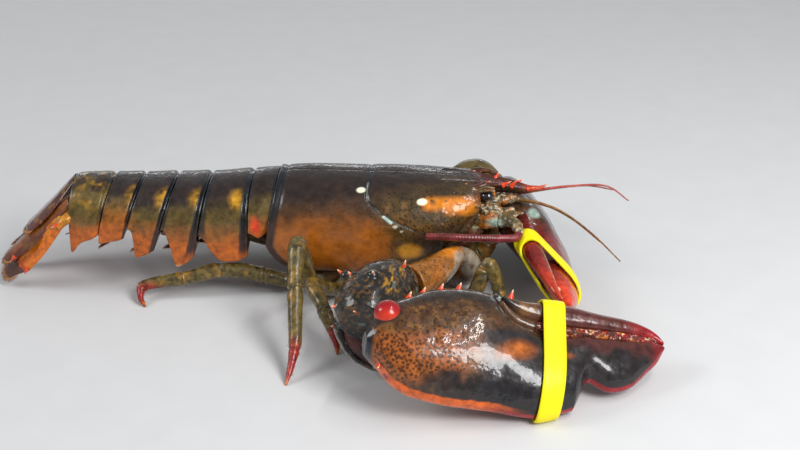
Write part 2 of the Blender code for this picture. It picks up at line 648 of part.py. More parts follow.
class Claw:
    """Where a claw lies, and the sections of its palm and thumb."""

    def __init__(self, size, faces, origin, along, widthwise, notched, opening):
        self.length, self.width, self.thick = size
        self.faces = faces
        self.origin = Vector(origin)
        self.along = Vector(along).normalized()
        widthwise = Vector(widthwise)
        self.across = (widthwise - self.along * widthwise.dot(self.along)).normalized()
        self.normal = self.along.cross(self.across)
        self.notched = notched
        self.opening = math.radians(opening)

    def place(self, u, v, n):
        """A point in the animal's frame, from millimetres along, across and out of the claw."""
        return self.origin + self.along * u + self.across * v + self.normal * n

    def swing(self, u, v):
        """Turn a point of the thumb about its hinge."""
        hinge_u = THUMB_HINGE[0] * self.length
        hinge_v = THUMB_HINGE[1] * self.width
        du = u - hinge_u
        dv = v - hinge_v
        cos = math.cos(self.opening)
        sin = math.sin(self.opening)
        return hinge_u + du * cos - dv * sin, hinge_v + du * sin + dv * cos

    def oval(self, low, high, half, sides, keel):
        """A rounded section between two margins, thinner at the outer one by the keel."""
        points = []
        for index in range(sides):
            angle = TAU * index / sides
            v = (low + high) / 2 + (high - low) / 2 * power(math.cos(angle), 0.85)
            thin = 1 - keel * max(0.0, -math.cos(angle)) ** 2
            face = self.faces[0] if math.sin(angle) >= 0 else self.faces[1]
            points.append((v, half * thin * face * power(math.sin(angle), 0.9)))
        return points

    def palm_section(self, share):
        """Margins and section of the palm, and beyond the hinge of the fixed finger."""
        low = OUTER_MARGIN(share) + (OLD_NOTCH(share) if self.notched else 0.0)
        high = INNER_MARGIN(share)
        if share > 0.42:
            high = min(high, BITE(share) - GAP / self.width)
        half = CLAW_SWELL(share) * self.thick
        return self.oval(low * self.width, high * self.width, half, PALM_SIDES, 0.3)

    def thumb_section(self, share):
        """Section of the movable finger."""
        low = BITE(share) + GAP / self.width
        high = max(INNER_MARGIN(share), low + 0.02)
        if share < 0.5:
            high = max(high, 0.9)
        half = CLAW_SWELL(share) * self.thick * THUMB_THICKNESS[self.notched]
        return self.oval(low * self.width, high * self.width, half, THUMB_SIDES, 0.0)

    def palm(self, name):
        """The palm with the fixed finger."""
        rings = []
        for share in CLAW_STATIONS:
            rings.append([self.place(share * self.length, v, n) for v, n in self.palm_section(share)])
        return loft(name, rings)

    def thumb(self, name):
        """The movable finger, shut or held a little open."""
        rings = []
        for share in CLAW_STATIONS:
            if share < THUMB_START or (self.notched is False and 0.68 < share < 0.73):
                continue
            ring = []
            for v, n in self.thumb_section(share):
                u_turned, v_turned = self.swing(share * self.length, v)
                ring.append(self.place(u_turned, v_turned, n))
            rings.append(ring)
        return loft(name, rings)

    def oblique(self, start, slope):
        """Points of both fingers where a slanting band edge crosses them, along and across."""
        found = []
        for section, swings in ((self.palm_section, False), (self.thumb_section, True)):
            for index, (v_guess, _) in enumerate(section((start + slope * 0.5) / self.length)):
                share = (start + slope * v_guess / self.width) / self.length
                v, n = section(share)[index]
                if swings:
                    _, v = self.swing(share * self.length, v)
                found.append((v, n))
        return found

    def band(self, name, start, slope, breadth):
        """A rubber band pulled tight round both fingers, slanting by slope over the width."""
        edges = []
        for begin in (start, start + breadth):
            loop = hull(self.oblique(begin, slope))
            for rise in (BAND_CLEARANCE, BAND_CLEARANCE + BAND_THICKNESS):
                edge = []
                for v, n in offset_loop(loop, rise, 30):
                    edge.append(place_on_floor(self.place(begin + slope * v / self.width, v, n)))
                edges.append(edge)
        inner_start, outer_start, inner_end, outer_end = edges
        mesh = bmesh.new()
        rows = []
        for edge in (inner_start, outer_start, outer_end, inner_end):
            rows.append([mesh.verts.new(point * MM) for point in edge])
        for row, following in zip(rows, rows[1:] + rows[:1]):
            for index, vertex in enumerate(row):
                other = (index + 1) % len(row)
                mesh.faces.new((vertex, row[other], following[other], following[index]))
        return finish_mesh(name, mesh, sum(inner_start, Vector()) / len(inner_start))


def hull(points):
    """The convex outline round flat points, counterclockwise."""
    ordered = sorted(set(points))

    def chain(run):
        kept = []
        for point in run:
            while len(kept) > 1:
                (ax, ay), (bx, by) = kept[-2], kept[-1]
                if (bx - ax) * (point[1] - ay) - (by - ay) * (point[0] - ax) > 0:
                    break
                kept.pop()
            kept.append(point)
        return kept[:-1]

    return chain(ordered) + chain(reversed(ordered))


def offset_loop(loop, rise, count):
    """Points round a convex loop pushed out by rise, at even angles of its outward normal."""
    points = []
    for index in range(count):
        angle = TAU * index / count
        out = (math.cos(angle), math.sin(angle))
        best = max(loop, key=lambda point: point[0] * out[0] + point[1] * out[1])
        points.append((best[0] + out[0] * rise, best[1] + out[1] * rise))
    return points


CRUSHER_TILT = math.radians(34)
CRUSHER_DROP = math.radians(-9)
CRUSHER_TURN = math.radians(11.2)
CRUSHER_MARGIN = Vector((132.0, -177.6, 10.4))
CRUSHER_MARGIN_U = 67.5
CRUSHER_MARGIN_V = 4.2
CUTTER_WRIST = Vector((144.5, 62.0, 30.5))
CUTTER_TIP = Vector((187.5, -90.0, 22.5))
CUTTER_TILT = math.radians(53)


def crusher_claw():
    """The right claw, laid on its outer margin with its broad face tilted up."""
    along = Vector((
        math.cos(CRUSHER_DROP) * math.cos(CRUSHER_TURN),
        math.cos(CRUSHER_DROP) * math.sin(CRUSHER_TURN),
        math.sin(CRUSHER_DROP),
    ))
    level = Vector((-math.sin(CRUSHER_TURN), math.cos(CRUSHER_TURN), 0))
    rise = along.cross(level)
    across = level * math.cos(CRUSHER_TILT) + rise * math.sin(CRUSHER_TILT)
    origin = CRUSHER_MARGIN - along * CRUSHER_MARGIN_U - across * CRUSHER_MARGIN_V
    return Claw(CRUSHER, CRUSHER_FACES, origin, along, across, True, 0.0)


def cutter_claw():
    """The left claw, stood on its outer margin before the head with its tips to the right."""
    along = (CUTTER_TIP - CUTTER_WRIST).normalized()
    level = Vector((-along.y, along.x, 0)).normalized()
    rise = along.cross(level)
    if rise.z < 0:
        rise = -rise
    across = rise * math.sin(CUTTER_TILT) - level * math.cos(CUTTER_TILT)
    origin = CUTTER_WRIST - across * CUTTER[1] * 0.53
    return Claw(CUTTER, CUTTER_FACES, origin, along, across, False, 4.0)


def make_claws():
    """Palm, movable finger and band of each claw."""
    right = crusher_claw()
    palm = right.palm("claw_right_palm")
    knob = ball("knob", right.place(11.5, 53, 7.0), (7.4, 7.4, 7.4))
    spines = []
    for share in (0.115, 0.165, 0.235, 0.30):
        root = right.place(share * right.length, (INNER_MARGIN(share) - 0.03) * right.width, 4.5)
        spines.append(spine(root, right.across + right.normal * 0.55 + right.along * 0.25, 5.5, 2.0))
    root = right.place(0.045 * right.length, 0.37 * right.width, 4.0)
    spines.append(spine(root, -right.across + right.normal * 0.4 - right.along * 0.5, 3.5, 1.8))
    palm = fuse(palm, [knob] + spines)
    thumb = right.thumb("claw_right_finger")
    root = right.place(0.485 * right.length, 0.86 * right.width, 4.0)
    thumb = fuse(thumb, [spine(root, right.across + right.normal * 0.7 + right.along * 0.2, 4.5, 1.8)])
    band = right.band("claw_right_band", 92.0, 9.5, 13.0)

    left = cutter_claw()
    far_palm = left.palm("claw_left_palm")
    spines = []
    for share in (0.10, 0.34):
        root = left.place(share * left.length, (INNER_MARGIN(share) - 0.03) * left.width, -2.0)
        spines.append(spine(root, left.across - left.normal * 0.4 + left.along * 0.25, 4.0, 1.5))
    far_palm = fuse(far_palm, spines)
    far_thumb = left.thumb("claw_left_finger")
    root = left.place(0.475 * left.length, 0.89 * left.width, 0)
    far_thumb = fuse(far_thumb, [spine(root, left.across + left.along * 0.3, 4.0, 1.5)])
    far_band = left.band("claw_left_band", 134.0, -44.0, 12.5)
    return [palm, thumb, band, far_palm, far_thumb, far_band]


def make_arms():
    """Upper arm and wrist of each claw."""
    hip = limb("claw_right_arm", [
        ((106, -16.3, 8.5), 7.0, 6.5), ((111, -21, 10), 8.0, 7.5), ((118, -28, 14.5), 8.0, 7.5),
        ((121, -33, 22), 7.0, 6.5), ((119, -37, 30), 6.0, 5.5), ((114, -41, 36), 4.5, 4.5),
    ], (0.6, 0.4, -0.6), 10, 1)
    upper_arm = limb("upper_arm", [
        ((115, -42, 37.5), 3.5, 4.5), ((110, -47, 37), 7.5, 8.5), ((103, -57, 36.5), 10.0, 11.5),
        ((94, -69, 36.5), 11.0, 13.0), ((86, -79, 37), 10.5, 12.5),
    ], (0.7, 0.7, 0), 12, 1)
    right_arm = fuse(hip, [upper_arm])
    wrist = limb("claw_right_wrist", [
        ((83, -82, 37), 10.5, 11.5), ((78, -88, 38), 16.0, 17.0), ((70, -98, 38.5), 19.5, 20.0),
        ((64, -109, 38.8), 20.0, 19.5), ((61, -120, 38.5), 18.0, 17.5), ((60, -129, 37), 13.0, 13.0),
    ], (0.8, 0.6, 0), 14, 1)
    lobe = limb("lobe", [
        ((50, -107, 34.5), 5.0, 5.0), ((45.5, -114, 25.5), 4.2, 3.6), ((49, -121, 17.5), 4.0, 3.4),
        ((55, -125.5, 11.5), 3.6, 3.2), ((63, -128, 8.5), 2.4, 2.4),
    ], (-0.8, 0.5, -0.3), 8, 1)
    spines = [spine(*values) for values in WRIST_SPINES]
    right_wrist = fuse(wrist, [lobe] + spines)
    left_arm = limb("claw_left_arm", [
        ((104, 16.7, 8.5), 7.0, 6.5), ((101, 28, 12), 8.0, 7.5), ((97, 40, 17), 9.0, 8.5),
        ((96, 51, 24.5), 10.0, 9.5), ((98.5, 59, 29.8), 10.5, 10.5), ((103.5, 64.1, 32.8), 9.8, 10.2),
        ((109.0, 68.1, 35.2), 8.2, 8.8),
    ], (0.9, -0.3, 0), 12, 1)
    left_wrist = limb("claw_left_wrist", [
        ((109.6, 68.5, 35.5), 8.0, 9.0), ((113.2, 70.9, 36.8), 12.5, 13.0), ((119, 71.3, 37.2), 15.0, 15.0),
        ((126, 69.8, 36), 14.5, 14.0), ((133, 67.5, 33.5), 11.5, 11.0), ((140, 65, 31.5), 8.5, 8.5),
        ((144, 63.2, 31), 7.0, 7.0),
    ], (0.1, 1.0, 0), 14, 1)
    far_spines = []
    for turn in (0.4, 1.5, 2.6):
        direction = Vector((0.5 * math.cos(turn), 0.3, math.sin(turn)))
        far_spines.append(spine(Vector((122, 70, 37)) + direction.normalized() * 13.0, direction, 4.5, 1.6))
    left_wrist = fuse(left_wrist, far_spines)
    return [right_arm, right_wrist, left_arm, left_wrist]


# Root, direction, length and radius of each spine on the right wrist
WRIST_SPINES = (
    ((48.5, -95, 49), (-0.75, 0.25, 0.45), 7.0, 2.2),
    ((55.5, -102, 54), (-0.5, -0.2, 0.8), 5.5, 2.0),
    ((67.0, -103, 57), (0.0, -0.2, 1.0), 5.0, 2.0),
    ((82.0, -92, 50), (0.25, 0.15, 1.0), 6.5, 1.8),
    ((46.0, -112, 37), (-0.9, -0.25, -0.1), 5.0, 2.0),
    ((59.0, -122, 43), (-0.55, -0.7, 0.4), 5.0, 2.0),
    ((43.5, -114, 26), (-0.85, -0.3, -0.15), 5.0, 2.0),
)


# Head

# Joints of the feeler bases: the right one turned out to the side, the left one folded back
ANTENNA_BASES = {
    "right": (
        ((124.8, -17.5, 46.5), 5.0, 4.6), ((131, -18.5, 48.0), 6.6, 6.2), ((138, -19.5, 48.6), 6.0, 5.8),
        ((145, -23.0, 49.0), 4.6, 4.6), ((149.5, -28.0, 48.4), 4.2, 4.2), ((151.5, -34.0, 46.7), 3.6, 3.6),
        ((151.3, -37.0, 45.8), 3.3, 3.3),
    ),
    "left": (
        ((124.0, 16.0, 47.5), 5.0, 4.6), ((129, 18.0, 49.0), 5.8, 5.4), ((132.5, 22.0, 50.3), 5.0, 4.8),
        ((133, 27.0, 51.0), 4.4, 4.2), ((131.5, 31.5, 51.4), 3.8, 3.6), ((129.2, 35.0, 51.7), 3.3, 3.2),
    ),
}
ANTENNA_SCALES = {
    "right": ((131, -22.5, 51.0), (155.0, -19.5, 52.5)),
    "left": ((127, 17.0, 52.6), (142.0, 14.5, 56.5)),
}


def make_head():
    """Eyes, feelers and the outer mouth limbs."""
    parts = []
    for word, side in (("right", -1), ("left", 1)):
        centre = mirrored(EYE_CENTRE, side) - Vector((0, 0, FAR_EYE_DROP if side > 0 else 0))
        eye = ball(f"eye_{word}", centre, EYE_RADII, 8, 12)
        stalk = limb(f"eyestalk_{word}", [
            (mirrored((CARAPACE_LENGTH - 1.0, 6.0, 60.4), side), 3.0, 3.0),
            (mirrored((130.2, 9.5, 61.6), side), 3.2, 3.2),
            (centre - mirrored((0.4, 2.0, 0.6), side), 3.4, 3.4),
        ], (0, 0, 1), 10, 1)
        parts.append(stalk)
        parts.append(eye)
        base = limb(f"antenna_{word}_base", ANTENNA_BASES[word], (0, 0, 1), 10, 1)
        scale_root, scale_tip = ANTENNA_SCALES[word]
        scale = blade(
            "scale", scale_root, scale_tip, 9.5, 2.0, mirrored((0.05, 0.5, 0.85), side), 0.2, 0.8, 6
        )
        parts.append(fuse(base, [scale]))
        stem = limb(f"antennule_{word}", [
            (mirrored((CARAPACE_LENGTH + 0.6, 3.6, 55.5), side), 2.6, 2.6),
            (mirrored((139, 3.8, 55.6), side), 2.9, 2.9), (mirrored((149, 4.0, 55.0), side), 2.3, 2.3),
            (mirrored((153, 4.2, 54.6), side), 1.6, 1.6),
        ], (0, 0, 1), 8, 1)
        parts.append(fuse(stem, antennule_whips(side)))
        parts.append(limb(f"maxilliped_{word}", [
            (mirrored((117.5, 8.0, 19.0), side), 5.5, 6.0), (mirrored((122, 8.4, 18.0), side), 6.4, 7.0),
            (mirrored((128, 8.6, 20.0), side), 6.0, 6.4), (mirrored((133, 8.2, 26.0), side), 5.0, 5.0),
            (mirrored((135.5, 7.8, 33.0), side), 4.0, 4.0), (mirrored((136, 7.4, 40.0), side), 1.6, 1.6),
        ], (0, 1, 0), 8, 1))
    parts.append(whip("antenna_right_whip", [
        ((151.2, -37.4, 45.7), 2.7), ((149.3, -41.5, 45.8), 2.6), ((144.0, -44.0, 46.6), 2.5),
        ((130.0, -46.0, 47.9), 2.4), ((112.0, -48.0, 49.8), 2.3), ((94.0, -49.0, 51.4), 2.1),
    ]))
    parts.append(whip("antenna_left_whip", [
        ((128.6, 36.0, 51.8), 2.6), ((124.0, 39.0, 52.4), 2.5), ((114.0, 41.5, 53.2), 2.4),
        ((98.0, 43.0, 54.0), 2.3), ((70.0, 44.0, 55.0), 2.2), ((30.0, 43.0, 54.0), 1.9),
        ((-30.0, 40.5, 47.0), 1.5), ((-90.0, 41.0, 33.0), 1.1), ((-140.0, 47.0, 16.0), 0.7),
        ((-165.0, 51.0, 6.0), 0.4),
    ]))
    return parts


def antennule_whips(side):
    """The two thin whips of one antennule, spread a little."""
    if side < 0:
        path = ((150, -4.0, 54.8), (165, -7.0, 53.0), (180, -11.0, 48.0), (198, -20.0, 37.0), (215, -30.0, 22.5))
    else:
        path = ((150, 4.0, 55.0), (165, 3.5, 57.5), (185, 2.0, 60.5), (208, 1.0, 60.6), (222, 0.0, 50.6))
    whips = []
    for spread, reach in ((-1.0, 1.0), (1.0, 0.82)):
        knots = []
        for index in range(len(path)):
            share = index / (len(path) - 1) * reach
            offset = Vector((0.0, 0.55 * spread, -0.35 * spread)) * (0.6 + 1.9 * share)
            knots.append((blend_path(path, share) + offset, 1.25 - 0.85 * index / (len(path) - 1)))
        whips.append(whip("whip", knots, 2, 1))
    return whips


def blend_path(path, share):
    """A point at a share of the way through evenly spaced knots."""
    tracks = [curve(*[(k / (len(path) - 1), point[axis]) for k, point in enumerate(path)]) for axis in range(3)]
    return Vector([track(share) for track in tracks])


MATERIAL_OF = (
    ("carapace", "shell_dark"), ("sternum", "belly"), ("abdomen", "shell_brown"), ("telson", "shell_brown"),
    ("uropod", "shell_orange"), ("swimmeret", "claw_maroon"), ("leg", "shell_olive"), ("eyestalk", "shell_olive"),
    ("eye", "eye"), ("antenna", "feeler"), ("antennule", "feeler"), ("maxilliped", "shell_olive"),
    ("claw_right_band", "rubber_yellow"), ("claw_left_band", "rubber_yellow"), ("claw_right_arm", "shell_orange"),
    ("claw_left_arm", "shell_orange"), ("claw_right_wrist", "shell_dark"), ("claw_left_wrist", "shell_olive"),
    ("claw", "claw_maroon"),
)


def material_name(node):
    """The material of a node, from the first name that its own name starts with."""
    return next(material for start, material in MATERIAL_OF if node.startswith(start))


# Pieces that bear on one another: the first of each pair is cut back from the second
CLEARANCES = (
    ("telson", "abdomen_6"),
    ("uropod_right_inner", "abdomen_6"), ("uropod_right_inner", "telson"),
    ("uropod_left_inner", "abdomen_6"), ("uropod_left_inner", "telson"),
    ("uropod_right_outer", "abdomen_6"), ("uropod_right_outer", "uropod_right_inner"),
    ("uropod_left_outer", "abdomen_6"), ("uropod_left_outer", "uropod_left_inner"),
    ("carapace", "eye_right"), ("carapace", "eye_left"),
    ("eyestalk_right", "eye_right"), ("eyestalk_left", "eye_left"),
    ("eyestalk_right", "carapace"), ("eyestalk_left", "carapace"),
    ("antenna_right_base", "carapace"), ("antenna_left_base", "carapace"),
    ("antenna_right_whip", "antenna_right_base"), ("antenna_left_whip", "antenna_left_base"),
    ("sternum", "carapace"),
    ("claw_right_arm", "sternum"), ("claw_left_arm", "sternum"),
    ("claw_right_band", "claw_right_palm"), ("claw_right_band", "claw_right_finger"),
    ("claw_left_band", "claw_left_palm"), ("claw_left_band", "claw_left_finger"),
    ("leg_right_2_upper", "sternum"), ("leg_right_3_upper", "sternum"), ("leg_right_5_upper", "sternum"),
    ("leg_left_2_upper", "sternum"), ("leg_left_5_upper", "sternum"),
    ("maxilliped_left", "claw_left_palm"),
    *((f"swimmeret_{side}_{number}", f"abdomen_{number}") for side in ("right", "left") for number in (2, 3, 4, 5)),
)


def clear_neighbours(parts):
    """Cut every piece of the list of clearances back from its neighbour."""
    named = {part.name: part for part in parts}
    for body, neighbour in CLEARANCES:
        cut_clear(named[body], named[neighbour])


def clear_scene():
    """Remove the objects that a new file starts with."""
    for thing in list(bpy.data.objects):
        bpy.data.objects.remove(thing)


def centre_over_floor(parts):
    """The empty that carries every part and puts the middle of their box over the origin."""
    corners = [part.location + vertex.co for part in parts for vertex in part.data.vertices]
    low = Vector([min(corner[axis] for corner in corners) for axis in range(3)])
    high = Vector([max(corner[axis] for corner in corners) for axis in range(3)])
    root = bpy.data.objects.new("lobster_place", None)
    root.location = (-(low.x + high.x) / 2, -(low.y + high.y) / 2, -low.z)
    return root


def main():
    """Build the lobster."""
    clear_scene()
    collection = bpy.data.collections.new("american_lobster")
    bpy.context.scene.collection.children.link(collection)
    materials = {name: make_material(name) for name in COLOURS}
    abdomen = make_abdomen()
    palm, thumb, band, far_palm, far_thumb, far_band = make_claws()
    right_arm, right_wrist, left_arm, left_wrist = make_arms()
    right_wrist = cut_clear(right_wrist, palm)
    right_arm = cut_clear(right_arm, right_wrist)
    left_wrist = cut_clear(left_wrist, far_palm)
    parts = [make_carapace(), make_sternum()]
    parts += abdomen + make_tail_fan() + make_swimmerets() + make_legs() + make_head()
    parts += [palm, thumb, band, far_palm, far_thumb, far_band]
    parts += [right_arm, right_wrist, left_arm, left_wrist]
    clear_neighbours(parts)
    root = centre_over_floor(parts)
    collection.objects.link(root)
    for part in parts:
        part.data.materials.clear()
        part.data.materials.append(materials[material_name(part.name)])
        part.parent = root
        collection.objects.link(part)
    bpy.context.view_layer.update()


main()
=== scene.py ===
"""American lobster at life size, at rest on its belly with both claws banded.

Shapes are laid out in millimetres in the animal's own frame: its origin is on the floor under
the rear edge of the carapace, with +X to the head, +Y to the lobster's left and +Z up.
"""

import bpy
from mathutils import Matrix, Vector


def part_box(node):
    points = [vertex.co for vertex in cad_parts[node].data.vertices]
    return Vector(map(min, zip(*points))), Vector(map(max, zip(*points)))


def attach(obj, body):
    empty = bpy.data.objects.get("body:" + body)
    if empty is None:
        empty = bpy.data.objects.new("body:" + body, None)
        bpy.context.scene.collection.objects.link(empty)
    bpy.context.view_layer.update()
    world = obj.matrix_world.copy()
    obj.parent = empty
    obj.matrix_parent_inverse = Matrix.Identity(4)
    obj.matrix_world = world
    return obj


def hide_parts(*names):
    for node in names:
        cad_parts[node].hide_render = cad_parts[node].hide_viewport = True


bl_info = {
    "name": "American lobster",
    "version": (1, 0, 0),
    "blender": (4, 5, 0),
    "location": "View3D > Sidebar > Lobster",
    "description": "A life-size american lobster with both claws banded",
    "category": "Add Mesh",
}

import math

import bmesh
import bpy
import numpy as np
from mathutils import Matrix, Vector

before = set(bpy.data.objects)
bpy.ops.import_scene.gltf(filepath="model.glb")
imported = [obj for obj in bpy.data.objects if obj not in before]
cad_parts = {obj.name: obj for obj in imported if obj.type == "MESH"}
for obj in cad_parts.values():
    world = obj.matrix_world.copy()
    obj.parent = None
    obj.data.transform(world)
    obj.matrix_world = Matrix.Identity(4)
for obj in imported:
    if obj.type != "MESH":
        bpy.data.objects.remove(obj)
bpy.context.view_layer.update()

MM = 0.001
GAP = 0.3
TAU = 2.0 * math.pi
SPINE_SIDES = 9
# Height below which no hair is made
HAIR_CLEARANCE = 0.2
# Height of the crest, from which the lean of the rear edges is measured
CREST_HEIGHT = 78
# Fineness of the smaller skins that are joined from several forms
VOXELS = {"face": 0.34, "leg": 0.4, "fan": 0.5, "arm": 0.5, "wrist": 0.55, "finger": 0.55, "cutter": 0.65}
BODY = "root"

SIDES = (("right", -1), ("left", 1))
STERNUM_LOW, STERNUM_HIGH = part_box("sternum")
STERNUM_REAR = 6.0
ORIGIN = np.array((STERNUM_LOW[0] - STERNUM_REAR * MM, (STERNUM_LOW[1] + STERNUM_HIGH[1]) / 2, 0.0))

# Name: (sRGB colour, what it colours)
COLOURS = {
    "back": ("#281d19", "Top of the shell, nearly black"),
    "flank": ("#9c5612", "Side of the carapace"),
    "flank_low": ("#84410f", "Lower side of the carapace"),
    "cheek": ("#4d3b1b", "Side of the head"),
    "mottle": ("#7c5420", "Brown marks on the head and the wrists"),
    "streak": ("#d27a12", "Orange streak behind the eye"),
    "cream": ("#eeeccb", "Pale yellow spot"),
    "ochre": ("#c08420", "Yellow-orange marks"),
    "teal": ("#a9c0b4", "Bare skin in the grooves"),
    "edge": ("#14171c", "Blue-black edges of the shell plates"),
    "olive": ("#5d4c20", "Flank of the tail"),
    # Gold, and also painted highlight: the gold marks on the tail plates stand where the key light glints
    "gold": ("#c08a1c", "Gold patches on the tail"),
    "pleuron": ("#b2580e", "Side plates of the tail"),
    "rostrum": ("#451c17", "Beak"),
    "spine": ("#e0431a", "Spines"),
    "spine_tip": ("#f6dcb4", "Tips of the spines"),
    "crimson": ("#98121c", "Tips of claws and legs"),
    "maroon": ("#52231c", "Movable fingers"),
    "claw_black": ("#1f1c1e", "Lower face of the crusher claw"),
    "claw_brown": ("#4e3119", "Upper face of the crusher claw"),
    "claw_orange": ("#a9591b", "Orange fields of the crusher claw"),
    "margin": ("#cf5a12", "Outer margin of the crusher claw"),
    "far_red": ("#781710", "Movable finger of the cutter claw"),
    "merus": ("#9a5c1e", "Upper arm"),
    "membrane": ("#9a9080", "Bare skin of the joints"),
    "wrist": ("#1f1d1a", "Wrists"),
    "leg": ("#65552a", "Walking legs"),
    "leg_dark": ("#2f2a18", "Marks on the walking legs"),
    "face": ("#564a30", "Face"),
    "face_pale": ("#b8a888", "Pale flecks of the face"),
    "fan_brown": ("#5c2a1a", "Telson and inner blades"),
    "fan_orange": ("#cc6812", "Outer blades"),
    "fan_dark": ("#2a1a1a", "End lobes of the tail fan"),
    "fringe": ("#b57a48", "Fringe of the tail fan"),
    "swimmeret": ("#4a1510", "Swimmerets"),
    "belly": ("#8a6038", "Underside"),
    "feeler": ("#7c272b", "Feelers"),
    "feeler_pink": ("#b0564c", "Upper feelers"),
    "eye": ("#0b0b0d", "Eyes"),
    "rubber": ("#f7e600", "Claw bands"),
}

# Name: (length in metres, what it is)
SIZES = {
    "carapace_half_width": (0.037, "Half the width of the carapace"),
    "abdomen_half_width": (0.0315, "Half the width of the tail"),
    "crusher_length": (0.1724, "Length of the right claw"),
    "crusher_width": (0.0754, "Width of the right claw"),
    "cutter_length": (0.158, "Length of the left claw"),
    "cutter_width": (0.055, "Width of the left claw"),
    "skin_voxel": (0.00062, "Fineness of the large skins"),
    "fringe_length": (0.0042, "Length of the hairs of the tail fan"),
}


def linear(code):
    """Linear RGB of an sRGB hex colour."""
    values = [int(code[place:place + 2], 16) / 255 for place in (1, 3, 5)]
    return tuple(v / 12.92 if v <= 0.04045 else ((v + 0.055) / 1.055) ** 2.4 for v in values)


def colour(name):
    """A colour as the panel has it, linear."""
    return np.array(getattr(bpy.context.scene.lobster_colours, name))


def size(name):
    """A length of the panel, in millimetres."""
    return getattr(bpy.context.scene.lobster_sizes, name) / MM


# Numbers


def curve(*knots):
    """A smooth function through (place, value) knots, level beyond its two ends."""
    knots = sorted(knots)
    places = np.array([knot[0] for knot in knots], dtype=float)
    values = np.array([knot[1] for knot in knots], dtype=float)
    before = np.maximum(np.arange(len(knots)) - 1, 0)
    after = np.minimum(np.arange(len(knots)) + 1, len(knots) - 1)
    slopes = (values[after] - values[before]) / (places[after] - places[before])

    def value(place):
        at = np.clip(np.asarray(place, dtype=float), places[0], places[-1])
        k = np.clip(np.searchsorted(places, at, side="right") - 1, 0, len(places) - 2)
        span = places[k + 1] - places[k]
        t = (at - places[k]) / span
        found = (1 + 2 * t) * (1 - t) ** 2 * values[k] + t * (1 - t) ** 2 * span * slopes[k]
        found = found + t * t * (3 - 2 * t) * values[k + 1] + t * t * (t - 1) * span * slopes[k + 1]
        return float(found) if np.ndim(place) == 0 else found

    return value


def power(value, exponent):
    """A signed power, for superellipse sections."""
    return np.sign(value) * np.abs(value) ** exponent


def fade(low, high, value):
    """0 below low, 1 above high, smooth between them; the other way round if low is above high."""
    t = np.clip((value - low) / (high - low), 0.0, 1.0)
    return t * t * (3 - 2 * t)


def grain(points, scale, seed):
    """Smooth random numbers from -1 to 1 that change over scale millimetres."""
    q = np.asarray(points) / scale + 31.7 * (seed + 1)
    base = np.floor(q).astype(np.int64)
    part = q - base
    part = part * part * (3 - 2 * part)
    total = np.zeros(len(q))
    for corner in range(8):
        step = np.array(((corner >> 2) & 1, (corner >> 1) & 1, corner & 1))
        cell = base + step
        mixed = (cell[:, 0] * 73856093) ^ (cell[:, 1] * 19349663) ^ (cell[:, 2] * 83492791)
        mixed = (mixed ^ (mixed >> 13)) * 1274126177
        random = ((mixed >> 7) & 0xFFFF) / 32767.5 - 1.0
        total += random * np.where(step == 1, part, 1 - part).prod(axis=1)
    return total


def bell(value, middle, breadth):
    """1 at the middle, falling off smoothly on both sides."""
    return np.exp(-(((value - middle) / breadth) ** 2))


def spot(points, centre, radii, soft):
    """1 inside an ellipsoid, fading to 0 outside it."""
    far = np.sqrt((((points - np.array(centre)) / np.array(radii)) ** 2).sum(axis=1))
    return 1 - fade(1 - soft, 1 + soft, far)


def stripe(points, start, end, radius, soft):
    """1 near a straight line between two points, fading to 0 away from it."""
    start = np.array(start, dtype=float)
    line = np.array(end, dtype=float) - start
    share = np.clip(((points - start) @ line) / (line @ line), 0, 1)
    far = np.linalg.norm(points - (start + share[:, None] * line), axis=1) / radius
    return 1 - fade(1 - soft, 1 + soft, far)


def unit(vector):
    """A direction of length one."""
    vector = np.array(vector, dtype=float)
    return vector / np.linalg.norm(vector)


def mirrored(point, side):
    """A point given for the left side, moved to the wanted side."""
    return np.array((point[0], point[1] * side, point[2]), dtype=float)


def flipped(knots, side):
    """Knots of a point and its radii given for the left side, moved to the wanted side."""
    return [(mirrored(point, side), *radii) for point, *radii in knots]


# Making skins


def smooth_path(knots, per_span):
    """Rows of point and radii along a smooth curve through knots of point and two radii."""
    rows = np.array([(*knot[0], *knot[1:]) for knot in knots], dtype=float)
    lengths = np.linalg.norm(np.diff(rows[:, :3], axis=0), axis=1)
    places = np.concatenate(([0.0], np.cumsum(lengths)))
    at = []
    for first, second in zip(places, places[1:]):
        at.extend(np.linspace(first, second, per_span + 1)[:-1])
    at.append(places[-1])
    return np.array([curve(*zip(places, column))(np.array(at)) for column in rows.T]).T


def frames(points, side):
    """The two cross axes along a path that bends about one side axis."""
    tangents = np.gradient(points, axis=0)
    tangents /= np.linalg.norm(tangents, axis=1)[:, None]
    side = np.array(side, dtype=float)
    across = side - tangents * (tangents @ side)[:, None]
    across /= np.linalg.norm(across, axis=1)[:, None]
    return across, np.cross(tangents, across)


